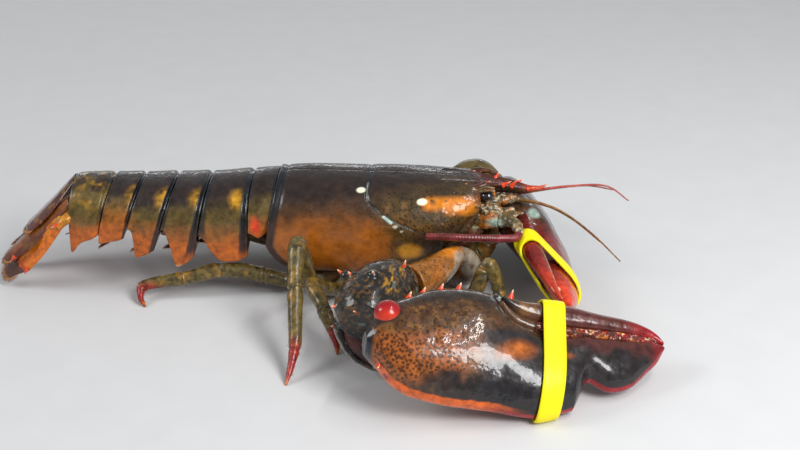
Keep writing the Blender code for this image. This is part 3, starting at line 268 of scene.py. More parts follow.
class Form:
    """Closed surfaces gathered in the animal's own frame."""

    def __init__(self):
        self.points = []
        self.faces = []

    def shell(self, rings):
        """A closed skin through rings of equally many points, with both ends filled."""
        rings = np.array(rings, dtype=float)
        rings[..., 2] = np.maximum(rings[..., 2], 0.0)
        rows, count = rings.shape[:2]
        start = len(self.points)
        self.points.extend(rings.reshape(-1, 3).tolist())
        for row in range(rows - 1):
            here = start + row * count
            for index in range(count):
                other = (index + 1) % count
                self.faces.append((here + index, here + other, here + count + other, here + count + index))
        for row in (0, rows - 1):
            here = start + row * count
            middle = len(self.points)
            self.points.append(rings[row].mean(axis=0).tolist())
            for index in range(count):
                self.faces.append((here + index, here + (index + 1) % count, middle))
        return self

    def ball(self, centre, radii, rows, sides):
        """An ellipsoid."""
        turn = np.linspace(0, TAU, sides, endpoint=False)
        rings = []
        for tilt in np.linspace(0.04, math.pi - 0.04, rows):
            flat = math.sin(tilt)
            ring = np.stack((np.cos(turn) * flat, np.sin(turn) * flat, np.full(sides, math.cos(tilt))), 1)
            rings.append(np.array(centre) + ring * np.array(radii))
        return self.shell(rings)

    def limb(self, knots, side, sides, per_span, ripple=None):
        """A tapering limb with one radius along side and one across it."""
        path = smooth_path(knots, per_span)
        across, up = frames(path[:, :3], side)
        turn = TAU * (np.arange(sides) + 0.5) / sides
        rings = []
        for index, row in enumerate(path):
            grow = ripple(index / (len(path) - 1)) if ripple else 1.0
            flat = across[index] * row[3] * grow * np.cos(turn)[:, None]
            rings.append(row[:3] + flat + up[index] * row[4] * grow * np.sin(turn)[:, None])
        return self.shell(rings)

    def spine(self, root, direction, length, radius, lean=(0, 0, 0)):
        """A curved thorn that flares at its root, which is sunk in the skin."""
        direction = unit(direction)
        lean = np.array(lean, dtype=float)
        rings = []
        turn = np.linspace(0, TAU, SPINE_SIDES, endpoint=False)
        guide = unit(np.cross(direction, (0.31, 0.62, 0.72)))
        other = np.cross(direction, guide)
        for t in (0.0, 0.12, 0.28, 0.46, 0.64, 0.8, 0.92, 1.0):
            centre = np.array(root) + direction * (length * t - radius * (1 - t)) + lean * t * t
            thick = radius * ((1 - t) ** 0.85 * (1 + 0.35 * (1 - t) ** 4) + 0.05)
            rings.append(centre + thick * (guide * np.cos(turn)[:, None] + other * np.sin(turn)[:, None]))
        return self.shell(rings)

    def hair(self, root, direction, length, radius):
        """A thin bristle, left out where it would reach the floor."""
        direction = unit(direction)
        if root[2] + direction[2] * length < HAIR_CLEARANCE:
            return
        guide = unit(np.cross(direction, (0.2, 0.5, 0.84)))
        other = np.cross(direction, guide)
        start = len(self.points)
        for turn in (0.0, TAU / 3, 2 * TAU / 3):
            corner = np.array(root) + radius * (guide * math.cos(turn) + other * math.sin(turn))
            self.points.append(corner.tolist())
        self.points.append((np.array(root) + direction * length).tolist())
        self.faces.extend(((start, start + 1, start + 2), (start, start + 1, start + 3)))
        self.faces.extend(((start + 1, start + 2, start + 3), (start + 2, start, start + 3)))


def make(name, form, finish, nodes=()):
    """An object from a form and the key of a finish, which rides on the body and stands for its nodes."""
    mesh = bpy.data.meshes.new(name)
    mesh.from_pydata((np.array(form.points) * MM + ORIGIN).tolist(), [], form.faces)
    shape = bmesh.new()
    shape.from_mesh(mesh)
    bmesh.ops.recalc_face_normals(shape, faces=shape.faces)
    shape.to_mesh(mesh)
    shape.free()
    mesh.shade_smooth()
    mesh.materials.append(material_of(finish))
    thing = bpy.data.objects.new(name, mesh)
    bpy.context.scene.collection.objects.link(thing)
    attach(thing, BODY)
    if nodes:
        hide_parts(*nodes)
    return thing


def settle(thing):
    """Replace an object's mesh by what its modifiers make of it."""
    bpy.context.view_layer.update()
    made = bpy.data.meshes.new_from_object(thing.evaluated_get(bpy.context.evaluated_depsgraph_get()))
    thing.modifiers.clear()
    old = thing.data
    made.name = old.name
    made.materials.clear()
    made.materials.append(old.materials[0])
    thing.data = made
    bpy.data.meshes.remove(old)
    made.shade_smooth()


def melt(thing, voxel, rounds):
    """Join the surfaces of an object into one fine skin and soften its creases."""
    remesh = thing.modifiers.new("join", "REMESH")
    remesh.mode = "VOXEL"
    remesh.voxel_size = voxel * MM
    soften = thing.modifiers.new("soften", "SMOOTH")
    soften.factor = 0.5
    soften.iterations = rounds
    settle(thing)


def read(thing):
    """Points in the animal's frame and unit normals of an object's mesh."""
    mesh = thing.data
    points = np.empty(len(mesh.vertices) * 3)
    mesh.vertices.foreach_get("co", points)
    normals = np.empty(len(mesh.vertices) * 3)
    mesh.vertices.foreach_get("normal", normals)
    return (points.reshape(-1, 3) - ORIGIN) / MM, normals.reshape(-1, 3)


def swell(thing, height):
    """Move each point along its normal by height(points) millimetres."""
    points, normals = read(thing)
    points = points + normals * height(points)[:, None]
    points[:, 2] = np.maximum(points[:, 2], 0.0)
    thing.data.vertices.foreach_set("co", (points * MM + ORIGIN).ravel())
    thing.data.update()


def roughen(thing, *waves):
    """Raise a skin by waves of (height, length and seed), the first two in millimetres."""
    swell(thing, lambda p: sum(height * grain(p, scale, seed) for height, scale, seed in waves))


class Coat:
    """Colour and density of dark speckles over a skin, laid on in layers."""

    def __init__(self, thing, base, speckle=0.0):
        self.thing = thing
        self.points, self.normals = read(thing)
        self.tint = np.tile(colour(base), (len(self.points), 1))
        self.speckle = np.full(len(self.points), float(speckle))

    def lay(self, name, weight, speckle=None):
        """Lay a named colour on, with a weight from 0 to 1 at each point."""
        weight = np.clip(weight, 0, 1)
        self.tint += (colour(name) - self.tint) * weight[:, None]
        if speckle is not None:
            self.speckle += (speckle - self.speckle) * weight

    def fleck(self, name, low, high, scale, seed, weight=1.0, speckle=None):
        """Lay a colour on in clouds of scale millimetres, where their value fades in from low to high."""
        self.lay(name, fade(low, high, grain(self.points, scale, seed)) * weight, speckle)

    def patch(self, name, centre, radii, soft, weight=1.0, speckle=None):
        """Lay a colour on in an ellipsoid."""
        self.lay(name, spot(self.points, centre, radii, soft) * weight, speckle)

    def done(self):
        """Write the colours to the mesh, with the speckles in alpha."""
        layer = self.thing.data.color_attributes.new("tint", "FLOAT_COLOR", "POINT")
        layer.data.foreach_set("color", np.column_stack((self.tint, self.speckle)).ravel())


# Materials

CHITIN_IOR = 1.52
LATEX_IOR = 1.52
WATER_IOR = 1.33
# Share of the shell's own colour that is left in a speckle
SPECKLE_SHADE = 0.16
# Length of the slow waves of the shell, in millimetres
WAVE_LENGTH = 5.0
# Depth of the pits that shows in the film of water over them
FILM_SHARE = 0.6


def feed(tree, node, inputs):
    """Give a node's inputs values, or link sockets to them."""
    for key, value in inputs.items():
        if isinstance(value, bpy.types.NodeSocket):
            tree.links.new(value, node.inputs[key])
        else:
            node.inputs[key].default_value = value


def add(tree, kind, inputs=None, **settings):
    """Add a node with its settings, and feed its inputs."""
    made = tree.nodes.new(kind)
    for key, value in settings.items():
        setattr(made, key, value)
    feed(tree, made, inputs or {})
    return made


def new_tree(name):
    """A new material, its node tree and its Principled shader."""
    material = bpy.data.materials.new(name)
    material.use_nodes = True
    tree = material.node_tree
    shader = tree.nodes["Principled BSDF"]
    return material, tree, shader


def wet_shell(
    name, mottle, speck, pit=1.2, relief=0.06, rough=0.34, coat=0.6, ripple=0.05, contrast=0.45,
):
    """Wet calcified chitin. Lengths are in millimetres: size of the mottling, of the speckles and
    of the pits, and height of the relief. The film of water over the duller shell gives small,
    sharp highlights whose edges break up over the pits."""
    material, tree, shader = new_tree(name)
    place = add(tree, "ShaderNodeTexCoord").outputs["Object"]
    tint = add(tree, "ShaderNodeAttribute", attribute_name="tint")
    # Clouds of paler and darker shell
    clouds = add(
        tree, "ShaderNodeTexNoise",
        {"Vector": place, "Scale": 1 / (mottle * MM), "Detail": 6.0, "Roughness": 0.62},
    )
    spread = add(tree, "ShaderNodeMapRange", {
        "Value": clouds.outputs["Fac"], "From Min": 0.32, "From Max": 0.68,
        "To Min": 1 - contrast, "To Max": 1 + contrast,
    })
    clouded = add(
        tree, "ShaderNodeVectorMath", {0: tint.outputs["Color"], "Scale": spread.outputs["Result"]},
        operation="SCALE",
    )
    # Dark speckles, larger and closer where alpha is high
    warp = add(
        tree, "ShaderNodeTexNoise", {"Vector": place, "Scale": 1 / (speck * 1.4 * MM), "Detail": 3.0},
    )
    cells = add(
        tree, "ShaderNodeTexVoronoi", {"Vector": place, "Scale": 1 / (speck * 1.5 * MM), "Randomness": 1.0},
    )
    rim = add(
        tree, "ShaderNodeMath", {0: warp.outputs["Fac"], 1: 0.7, 2: cells.outputs["Distance"]},
        operation="MULTIPLY_ADD",
    )
    inside = add(
        tree, "ShaderNodeMath", {0: tint.outputs["Alpha"], 1: rim.outputs["Value"]}, operation="SUBTRACT",
    )
    mask = add(tree, "ShaderNodeMapRange", {
        "Value": inside.outputs["Value"], "From Min": -0.20, "From Max": 0.02, "To Max": 0.88,
    })
    dark = add(
        tree, "ShaderNodeVectorMath", {0: clouded.outputs["Vector"], "Scale": SPECKLE_SHADE},
        operation="SCALE",
    )
    # The Mix node has sockets of several kinds under the same names, so its colours are linked by place
    mixed = add(tree, "ShaderNodeMix", {
        0: mask.outputs["Result"], 6: clouded.outputs["Vector"], 7: dark.outputs["Vector"],
    }, data_type="RGBA")
    # Pits in the shell, which the film of water half fills, and slow waves that break up reflections
    pits = add(
        tree, "ShaderNodeTexVoronoi", {"Vector": place, "Scale": 1 / (pit * 1.5 * MM)}, feature="SMOOTH_F1",
    )
    dots = add(
        tree, "ShaderNodeMapRange", {"Value": pits.outputs["Distance"], "From Min": 0.05, "From Max": 0.6},
    )
    waves = add(
        tree, "ShaderNodeTexNoise", {"Vector": place, "Scale": 1 / (WAVE_LENGTH * MM), "Detail": 1.5},
    )
    swells = add(
        tree, "ShaderNodeBump",
        {"Height": waves.outputs["Fac"], "Strength": 1.0, "Distance": ripple * 6 * MM},
    )
    bumps = [
        add(tree, "ShaderNodeBump", {
            "Height": dots.outputs["Result"], "Strength": 1.0, "Distance": depth,
            "Normal": swells.outputs["Normal"],
        }).outputs["Normal"]
        for depth in (relief * MM, relief * FILM_SHARE * MM)
    ]
    damp = add(tree, "ShaderNodeMapRange", {
        "Value": waves.outputs["Fac"], "From Min": 0.3, "From Max": 0.7,
        "To Min": rough - 0.08, "To Max": rough + 0.10,
    })
    feed(tree, shader, {
        "Base Color": mixed.outputs[2], "Normal": bumps[0], "Coat Normal": bumps[1],
        "Roughness": damp.outputs["Result"], "IOR": CHITIN_IOR, "Specular IOR Level": 0.3,
        "Coat Weight": coat, "Coat Roughness": 0.05, "Coat IOR": WATER_IOR,
    })
    return material


def rubber_material():
    """Dyed latex rubber: a plain strong yellow with a soft sheen and faint stretch marks."""
    material, tree, shader = new_tree("latex_rubber_yellow")
    place = add(tree, "ShaderNodeTexCoord").outputs["Object"]
    cloud = add(tree, "ShaderNodeTexNoise", {"Vector": place, "Scale": 1 / (5 * MM), "Detail": 3.0})
    ramp = add(tree, "ShaderNodeMapRange", {"Value": cloud.outputs["Fac"], "To Min": 0.92, "To Max": 1.04})
    rubber = add(tree, "ShaderNodeRGB")
    rubber.outputs[0].default_value = (*colour("rubber"), 1.0)
    shade = add(
        tree, "ShaderNodeVectorMath", {0: rubber.outputs[0], "Scale": ramp.outputs["Result"]},
        operation="SCALE",
    )
    marks = add(tree, "ShaderNodeTexNoise", {"Vector": place, "Scale": 1 / (1.2 * MM), "Detail": 3.0})
    bump = add(
        tree, "ShaderNodeBump", {"Height": marks.outputs["Fac"], "Distance": 0.05 * MM, "Strength": 1.0},
    )
    feed(tree, shader, {
        "Base Color": shade.outputs["Vector"], "Normal": bump.outputs["Normal"], "Roughness": 0.42,
        "IOR": LATEX_IOR, "Specular IOR Level": 0.35,
    })
    return material


def eye_material():
    """The faceted black cornea of a stalked eye: very smooth, with a faint brown depth."""
    material, tree, shader = new_tree("wet_cornea_black")
    place = add(tree, "ShaderNodeTexCoord").outputs["Object"]
    cells = add(tree, "ShaderNodeTexVoronoi", {"Vector": place, "Scale": 1 / (0.25 * MM)})
    ramp = add(
        tree, "ShaderNodeMapRange", {"Value": cells.outputs["Distance"], "To Min": 1.0, "To Max": 2.2},
    )
    black = add(tree, "ShaderNodeRGB")
    black.outputs[0].default_value = (*colour("eye"), 1.0)
    shade = add(
        tree, "ShaderNodeVectorMath", {0: black.outputs[0], "Scale": ramp.outputs["Result"]},
        operation="SCALE",
    )
    feed(tree, shader, {
        "Base Color": shade.outputs["Vector"], "Roughness": 0.12,
        "Coat Weight": 1.0, "Coat Roughness": 0.03,
    })
    return material


def floor_material():
    """Matt pale seamless paper, with the faint unevenness of its fibres."""
    material, tree, shader = new_tree("matt_studio_paper")
    place = add(tree, "ShaderNodeTexCoord").outputs["Object"]
    cloud = add(tree, "ShaderNodeTexNoise", {"Vector": place, "Scale": 40.0, "Detail": 4.0})
    ramp = add(tree, "ShaderNodeMapRange", {"Value": cloud.outputs["Fac"], "To Min": 0.60, "To Max": 0.65})
    feed(tree, shader, {"Base Color": ramp.outputs["Result"], "Roughness": 0.75})
    return material


# Key: name and settings of a wet shell
SHELLS = {
    "carapace": dict(name="wet_lobster_shell_back", mottle=5, speck=1.2, relief=0.05, contrast=0.28),
    "tail": dict(name="wet_lobster_shell_tail", mottle=5, speck=1.1, relief=0.05, contrast=0.5),
    "fan": dict(name="wet_flexible_shell_fan", mottle=4, speck=0.9, ripple=0.03, rough=0.28),
    "claw": dict(
        name="wet_thick_shell_claw", mottle=5, speck=1.25, pit=1.4, relief=0.055, ripple=0.04, rough=0.28,
        coat=0.8,
    ),
    "leg": dict(name="wet_thin_shell_leg", mottle=3, speck=0.9, pit=0.8, ripple=0.03, contrast=0.6),
    "face": dict(
        name="wet_rough_shell_face", mottle=2.2, speck=0.9, pit=0.9, relief=0.12, ripple=0.04, contrast=0.7,
    ),
    "spine": dict(
        name="wet_horny_spine", mottle=2, speck=0.6, pit=0.8, relief=0.02, ripple=0.01, rough=0.25,
        contrast=0.2,
    ),
    "feeler": dict(
        name="wet_ringed_feeler", mottle=5, speck=0.7, relief=0.015, ripple=0.01, rough=0.25, coat=0.9,
    ),
    "soft": dict(name="wet_joint_skin", mottle=3, speck=1.0, relief=0.08, ripple=0.06, rough=0.4, coat=0.4),
    "bristle": dict(
        name="horny_bristle", mottle=2, speck=1.0, relief=0.01, ripple=0.0, rough=0.45, coat=0.1,
    ),
}
OTHERS = {"rubber": rubber_material, "eye": eye_material}
MATERIALS = {}


def material_of(key):
    """A finish by its key, made when it is first asked for."""
    if key not in MATERIALS:
        MATERIALS[key] = OTHERS[key]() if key in OTHERS else wet_shell(**SHELLS[key])
    return MATERIALS[key]


def thorns(name, spines, from_share=0.62):
    """Spines as a piece of their own, coloured towards their tips."""
    form = Form()
    marks = []
    for values in spines:
        start = len(form.points)
        form.spine(*values)
        marks.append((start, len(form.points), np.array(values[0]), unit(values[1]), values[2]))
    thing = make(name, form, "spine")
    coat = Coat(thing, "spine")
    for start, end, root, direction, length in marks:
        share = ((coat.points[start:end] - root) @ direction) / length
        weight = np.zeros(len(coat.points))
        weight[start:end] = fade(from_share, 1.0, share)
        coat.lay("spine_tip", weight)
    coat.done()


def paint(thing, base, speckle, flecks):
    """A coat of one colour with flecks of others, each as Coat.fleck takes it."""
    coat = Coat(thing, base, speckle)
    for fleck in flecks:
        coat.fleck(*fleck)
    coat.done()


def bristles(name, hairs, tint):
    """Hairs as a piece of their own."""
    Coat(make(name, hairs, "bristle"), tint).done()


# Carapace

CARAPACE_LENGTH = 128.0
BELLY_MARGIN = 11.5
CARAPACE_CREST = curve((0, 75.6), (15, 76.0), (50, 74.8), (76, 73.7), (100, 71.8), (128, 68.9))
CARAPACE_SIDE = curve(
    (0, 0.86), (15, 0.95), (45, 1.0), (80, 1.0), (100, 0.94), (114, 0.80), (124, 0.62), (128, 0.52)
)
CARAPACE_WAIST = curve((0, 43), (50, 40), (95, 42), (112, 50), (128, 60))
CARAPACE_BELLY = curve((0, 13), (14, BELLY_MARGIN), (88, BELLY_MARGIN), (100, 20), (112, 34), (128, 53))
GROOVE_PLACE = curve(
    (46, 92), (53, 76.6), (56, 70.4), (61, 62.4), (66, 57.3), (71, 57), (74, 58), (79, 60.5),
)
GROOVE_DEPTH = curve((44, 0.0), (50, 1.0), (60, 1.5), (79, 1.1))
BEAK_TOP = curve(
    (104, 70.9), (122, 69.0), (134, 67.4), (150, 63.9), (159, 61.4), (166, 61.6), (171.5, 64.0),
)
BEAK_HALF = curve((104, 11), (120, 9.0), (134, 6.8), (148, 4.9), (160, 2.9), (168, 1.5), (171.5, 0.4))
BEAK_DEPTH = curve((104, 8), (128, 5.5), (148, 5.2), (160, 3.8), (171.5, 0.7))
# Root, direction, length, radius and lean of the spines of the beak and brow
BEAK_SPINES = (
    ((117.5, -10.5, 68.2), (0.9, -0.2, 0.45), 2.2, 1.0), ((122.0, 8.5, 68.4), (0.9, 0.2, 0.35), 3.0, 1.1),
    ((131.5, -6.6, 67.2), (0.9, -0.2, 0.6), 3.4, 1.3), ((138.0, 4.8, 66.6), (0.55, 0.2, 0.8), 4.0, 1.4),
    ((143.0, -5.2, 65.6), (0.9, -0.1, 0.5), 5.0, 1.5), ((148.0, -4.5, 64.8), (0.65, -0.1, 0.75), 6.4, 1.4),
    ((152.0, 4.2, 63.0), (0.85, 0.3, 0.4), 3.6, 1.1), ((126.0, -19.5, 58.0), (0.95, -0.15, 0.1), 4.2, 1.4),
    ((126.0, 19.5, 58.0), (0.95, 0.15, 0.1), 5.0, 1.6), ((158.5, -2.6, 61.2), (0.95, -0.1, 0.25), 4.0, 1.2),
)


def rear_bow(height):
    """How far the rear edge of the carapace stands behind its crest at a given height."""
    low = -8.6 + (np.maximum(38 - height, 0) / 29) ** 1.5 * 20
    return np.where(height >= 38, -0.215 * (CREST_HEIGHT - height), low)


def carapace_ring(station, count):
    """One cross section of the carapace, round above and boxy below, with the neck groove."""
    crest, waist, belly = CARAPACE_CREST(station), CARAPACE_WAIST(station), CARAPACE_BELLY(station)
    width = CARAPACE_SIDE(station) * size("carapace_half_width")
    turn = TAU * np.arange(count) / count
    sin, cos = np.sin(turn), np.cos(turn)
    y = width * np.where(cos >= 0, power(sin, 0.88), power(sin, 0.7))
    z = np.where(
        cos >= 0, waist + (crest - waist) * np.abs(cos) ** 0.92,
        waist - (waist - belly) * np.abs(cos) ** 0.75,
    )
    wide = bell(station, GROOVE_PLACE(z), 2.6)
    sink = np.where(cos > -0.2, GROOVE_DEPTH(z) * 0.3 * wide, 0.0)
    inward = np.stack((-y, waist - z), 1)
    inward /= np.maximum(np.linalg.norm(inward, axis=1), 1e-6)[:, None]
    x = station + rear_bow(z) * max(0.0, 1 - station / 45)
    return np.stack((x, y + inward[:, 0] * sink, z + inward[:, 1] * sink), 1)


def build_carapace():
    """Carapace and beak in one skin, with their spines."""
    form = Form()
    stations = np.concatenate(([0, 0.4, 1.0], np.arange(2.0, 127.0, 1.0), [127.0, 127.7, CARAPACE_LENGTH]))
    form.shell([carapace_ring(station, 150) for station in stations])
    half = (
        (0, -0.12), (0.3, -0.12), (0.55, -0.05), (0.8, 0.08), (0.95, 0.1), (1, -0.1), (1, -0.35),
        (0.85, -0.62), (0.6, -0.85), (0, -1),
    )
    outline = half + tuple((-across, up) for across, up in reversed(half[1:-1]))
    form.shell([
        [(at, across * BEAK_HALF(at), BEAK_TOP(at) + up * BEAK_DEPTH(at)) for across, up in outline]
        for at in np.arange(104.0, 171.6, 1.5)
    ])
    for _, side in SIDES:
        # Brow over the eye, ridge behind it, and the folded edge of the cheek below it
        form.limb(flipped([
            ((117, 13.5, 66.0), 1.6, 1.4), ((125, 13.0, 67.6), 2.2, 1.8),
            ((132, 11.0, 68.4), 1.8, 1.5), ((139, 7.5, 66.6), 0.9, 0.9),
        ], side), (0, 1, 0), 16, 6)
        form.limb(flipped([
            ((112, 24.5, 58.0), 1.4, 1.2), ((120, 22.6, 58.6), 2.0, 1.6),
            ((128, 19.8, 58.0), 1.8, 1.4),
        ], side), (0, 1, 0), 16, 6)
        form.limb(flipped([
            ((124.5, 19.5, 63.5), 1.5, 1.3), ((125.8, 20.0, 60.5), 1.8, 1.5),
            ((125.5, 21.5, 55.5), 1.7, 1.5), ((121.5, 24.0, 48.5), 1.5, 1.5),
            ((114.0, 27.5, 39.5), 1.4, 1.4), ((103.0, 30.0, 27.5), 1.2, 1.2),
        ], side), (0, 1, 0), 16, 6)
    thing = make("carapace_skin", form, "carapace", ("carapace",))
    melt(thing, size("skin_voxel"), 5)

    def height(p):
        raised = 0.35 * grain(p, 14, 1) * fade(8, 20, p[:, 0]) * fade(150, 120, p[:, 0])
        raised += 0.16 * grain(p, 5, 2) * fade(60, 80, p[:, 0]) * fade(150, 125, p[:, 0])
        edge = p[:, 0] - rear_bow(p[:, 2])
        raised += 0.45 * bell(edge, 1.2, 1.3) - 0.55 * bell(edge, 4.6, 1.2)
        seam = bell(p[:, 1], 0, 0.45) * fade(60, 64, p[:, 2]) * fade(118, 106, p[:, 0])
        raised -= 0.2 * seam
        line = bell(p[:, 0], GROOVE_PLACE(p[:, 2]), 0.8)
        raised -= 0.8 * line * fade(45, 52, p[:, 2]) * (1 - 0.8 * fade(69, 74, p[:, 2]))
        # Rim along the lower edge, and low warts on the head
        raised += 0.5 * bell(p[:, 2], 13.5, 1.5) * fade(20, 30, np.abs(p[:, 1]))
        warts = np.maximum(grain(p, 2.4, 3) - 0.35, 0) * fade(96, 112, p[:, 0]) * fade(160, 140, p[:, 0])
        return raised + 0.9 * warts

    swell(thing, height)
    coat = Coat(thing, "back", 0.35)
    p = coat.points
    x, z = p[:, 0], p[:, 2]
    rough = 4.5 * grain(p, 11, 4) + 1.6 * grain(p, 4, 5)
    coat.lay("claw_brown", fade(70, 60, z + rough), 0.45)
    coat.lay("flank", fade(62, 46, z + rough), 0.26)
    coat.lay("flank_low", fade(24, 13, z + rough) * 0.7)
    head = fade(54, 76, x + rough) * fade(73, 64, z + 0.4 * rough)
    coat.lay("cheek", head * 0.95, 0.62)
    coat.lay("back", head * fade(60, 70, z + rough) * 0.6)
    coat.lay("mottle", head * fade(0.0, 0.6, grain(p, 5, 6)) * 0.4)
    coat.lay("rostrum", head * fade(0.1, 0.7, grain(p, 2.4, 5)) * fade(66, 56, z) * 0.45)
    coat.lay("flank", fade(78, 62, x + rough) * fade(50, 40, z + rough) * 0.8, 0.35)
    coat.lay("flank", head * fade(30, 20, z + rough) * 0.5)
    for _, side in SIDES:
        coat.patch("back", mirrored((104, 33, 40), side), (19, 12, 9), 0.6, 0.75, 0.6)
        coat.patch("ochre", mirrored((83.3, 36.4, 34.6), side), (7.2, 8, 5.2), 0.4, speckle=0.0)
    for _, side in SIDES:
        streak = stripe(p, mirrored((95, 27.0, 62.3), side), mirrored((125.5, 22.0, 60.4), side), 4.1, 0.6)
        streak = np.maximum(
            streak,
            stripe(p, mirrored((108, 27.0, 60.4), side), mirrored((122, 24.0, 59.0), side), 4.6, 0.6),
        )
        coat.lay("streak", streak * fade(-1.0, -0.3, grain(p, 3, 7)), 0.28)
        coat.patch("cream", mirrored((91.4, 26.6, 64.1), side), (3.2, 4, 1.7), 0.2, speckle=0.0)
    line = np.abs(x - GROOVE_PLACE(z))
    coat.lay("edge", fade(2.6, 0.8, line) * fade(44, 50, z) * 0.6)
    coat.lay(
        "teal",
        fade(0.6, 0.2, line) * fade(46, 52, z) * fade(74, 70, z) * fade(-0.5, 0.2, grain(p, 5, 8)) * 0.7,
        0.0,
    )
    for _, side in SIDES:
        coat.patch("cream", mirrored((53.0, 20.3, 69.9), side), (2.7, 3, 1.3), 0.3, speckle=0.0)
        bare = stripe(p, mirrored((67.5, 32.9, 57.0), side), mirrored((72.0, 34.8, 53.8), side), 1.0, 0.3)
        coat.lay("teal", bare, 0.0)
        coat.patch("cream", mirrored((74.6, 35.6, 51.4), side), (1.5, 2, 0.9), 0.5, 0.7, 0.0)
        coat.patch("cream", mirrored((78.5, 36.6, 48.4), side), (1.0, 2, 0.7), 0.5, 0.5, 0.0)
    edge = x - rear_bow(z)
    coat.lay("edge", fade(6.5, 4.0, edge) * 0.9, 0.0)
    beak = fade(118, 130, x) * fade(58, 61, z)
    coat.lay("rostrum", beak * 0.9, 0.25)
    coat.lay(
        "mottle", beak * fade(0.1, 0.5, grain(p, 2.5, 9)) * fade(0.35, 0.8, coat.normals[:, 1] * -1) * 0.6,
    )
    coat.lay("spine", fade(152, 165, x))
    coat.lay("spine_tip", fade(167.5, 171.5, x) * 0.8)
    coat.lay("belly", fade(-0.5, -0.9, coat.normals[:, 2]) * fade(40, 25, z), 0.1)
    coat.lay("face", fade(124, 127.5, x) * fade(63, 58, z) * 0.8, 0.4)
    coat.done()
    thorns("carapace_spines", BEAK_SPINES, from_share=0.55)


# Underside

STERNUM_HALF_WIDTH = 16.0


def build_sternum():
    """The plates between the legs."""
    floor = curve((6, 3), (16, 0), (98, 0), (108, 7), (119, 28))
    form = Form()
    rings = []
    for station in np.arange(STERNUM_REAR, 119.1, 1.0):
        top = CARAPACE_BELLY(station) - GAP
        bottom = min(floor(station), top - 3)
        bottom += 0.9 * math.exp(-(((station - 14) % 17.0 - 8.5) / 1.1) ** 2)
        half = STERNUM_HALF_WIDTH
        keys = (
            (0, bottom + 0.6), (0.12, bottom), (0.5, bottom), (0.8, bottom + 0.6), (1, bottom + 2.2),
            (1, top - 0.5), (0.9, top),
        )
        ring = [(station, half * y, z) for y, z in keys]
        ring += [(station, -half * y, z) for y, z in reversed(keys[1:])]
        rings.append(ring)
    form.shell(rings)
    thing = make("sternum_plates", form, "carapace", ("sternum",))
    paint(thing, "belly", 0.15, [("flank", 0.0, 0.6, 9, 3, 0.5)])


# Tail

SEGMENT_BREAKS = (0.0, -17.0, -44.0, -65.0, -87.0, -107.0, -134.0)
ABDOMEN_CREST = curve(
    (0, 75.6), (-10, 75.0), (-25, 73.3), (-46, 72.1), (-70, 72.1), (-93, 72.5), (-127, 73.9), (-134, 73.5)
)
ABDOMEN_SIDE = curve(
    (0, 0.88), (-17, 0.96), (-44, 1.0), (-65, 1.0), (-87, 0.96), (-107, 0.88), (-134, 0.76),
)
ABDOMEN_FLOOR = curve((0, 45), (-17, 41), (-44, 35), (-65, 37), (-87, 42), (-107, 46), (-134, 50))
SEGMENT_LEAN = curve((0, -9), (-17, -3), (-44, -9), (-65, -14), (-87, -14), (-107, -11), (-134, -3))
LEAN_HEIGHT = 40.0
# Height of the lower edge of each side plate, along the segment from its front to its rear
PLATE_EDGES = (
    curve((0, 43.5), (0.5, 40.2), (1, 44.0)),
    curve(
        (0, 28.0), (0.14, 25.8), (0.36, 24.5), (0.5, 25.0), (0.57, 26.3), (0.71, 31.9), (0.86, 39.5),
        (1, 44),
    ),
    curve(
        (0, 28.3), (0.14, 24.7), (0.29, 22.2), (0.36, 21.7), (0.43, 24.0), (0.5, 28), (0.57, 33.1),
        (0.71, 39.8), (0.86, 46.9), (1, 52),
    ),
    curve(
        (0, 32.7), (0.14, 30.6), (0.36, 28.7), (0.47, 28.4), (0.51, 29.2), (0.57, 32.7), (0.64, 36.8),
        (0.79, 44.8), (0.93, 49), (1, 50.5),
    ),
    curve((0, 40.6), (0.5, 38.4), (0.9, 36.6), (0.95, 37.6), (1, 41.5)),
    curve((0, 42.2), (0.21, 39.3), (0.5, 37.2), (0.71, 33.9), (0.86, 29.9), (0.95, 28.9), (1, 29.6)),
)
# How far the skin stands in from the plate's outline along a segment: tucked under the plate in
# front, then a step up to the swollen front of the plate, and a thin rear edge
PLATE_PROFILE = curve(
    (0, -1.9), (0.05, -1.6), (0.085, -0.9), (0.13, 0.1), (0.24, 0.5), (0.55, 0.25), (0.9, 0.1), (0.97, 0.0),
    (1.0, -0.8),
)


def tail_ring(number, share):
    """One cross section of a tail segment, with its side plates hanging below the belly."""
    front = SEGMENT_BREAKS[number] - GAP
    station = front + (SEGMENT_BREAKS[number + 1] - front) * share
    crest, belly = ABDOMEN_CREST(station), ABDOMEN_FLOOR(station)
    width = ABDOMEN_SIDE(station) * size("abdomen_half_width")
    waist = crest - 24
    tip = PLATE_EDGES[number](share)
    inset = PLATE_PROFILE(share) - 0.3 if number else -0.4
    keys = []
    for turn in np.linspace(0, math.pi / 2, 13):
        y = (width + inset) * math.sin(turn) ** 0.9
        keys.append((y, waist + (crest + inset - waist) * math.cos(turn) ** 0.95))
    side = width + inset * 0.6
    for part in (0.25, 0.5, 0.75):
        keys.append((side * (1 - 0.03 * part), waist + (tip - waist) * part))
    keys.append((side * 0.965, tip + 1.0))
    keys.append((side * 0.95, tip + 0.1))
    keys.append((side * 0.955 - 1.2, tip))
    keys.append((side * 0.955 - 2.3, tip + 0.6))
    keys.append((side * 0.93 - 7.0, max(belly, tip + 0.8)))
    keys.append((side * 0.93 - 10.0, belly + 1.0))
    keys.append((side * 0.4, belly - 0.3))
    outline = keys + [(0.0, belly - 0.5)] + [(-y, z) for y, z in reversed(keys[1:])]
    lean = SEGMENT_LEAN(station)
    return [(station + lean * (CREST_HEIGHT - z) / LEAN_HEIGHT, y, z) for y, z in outline]
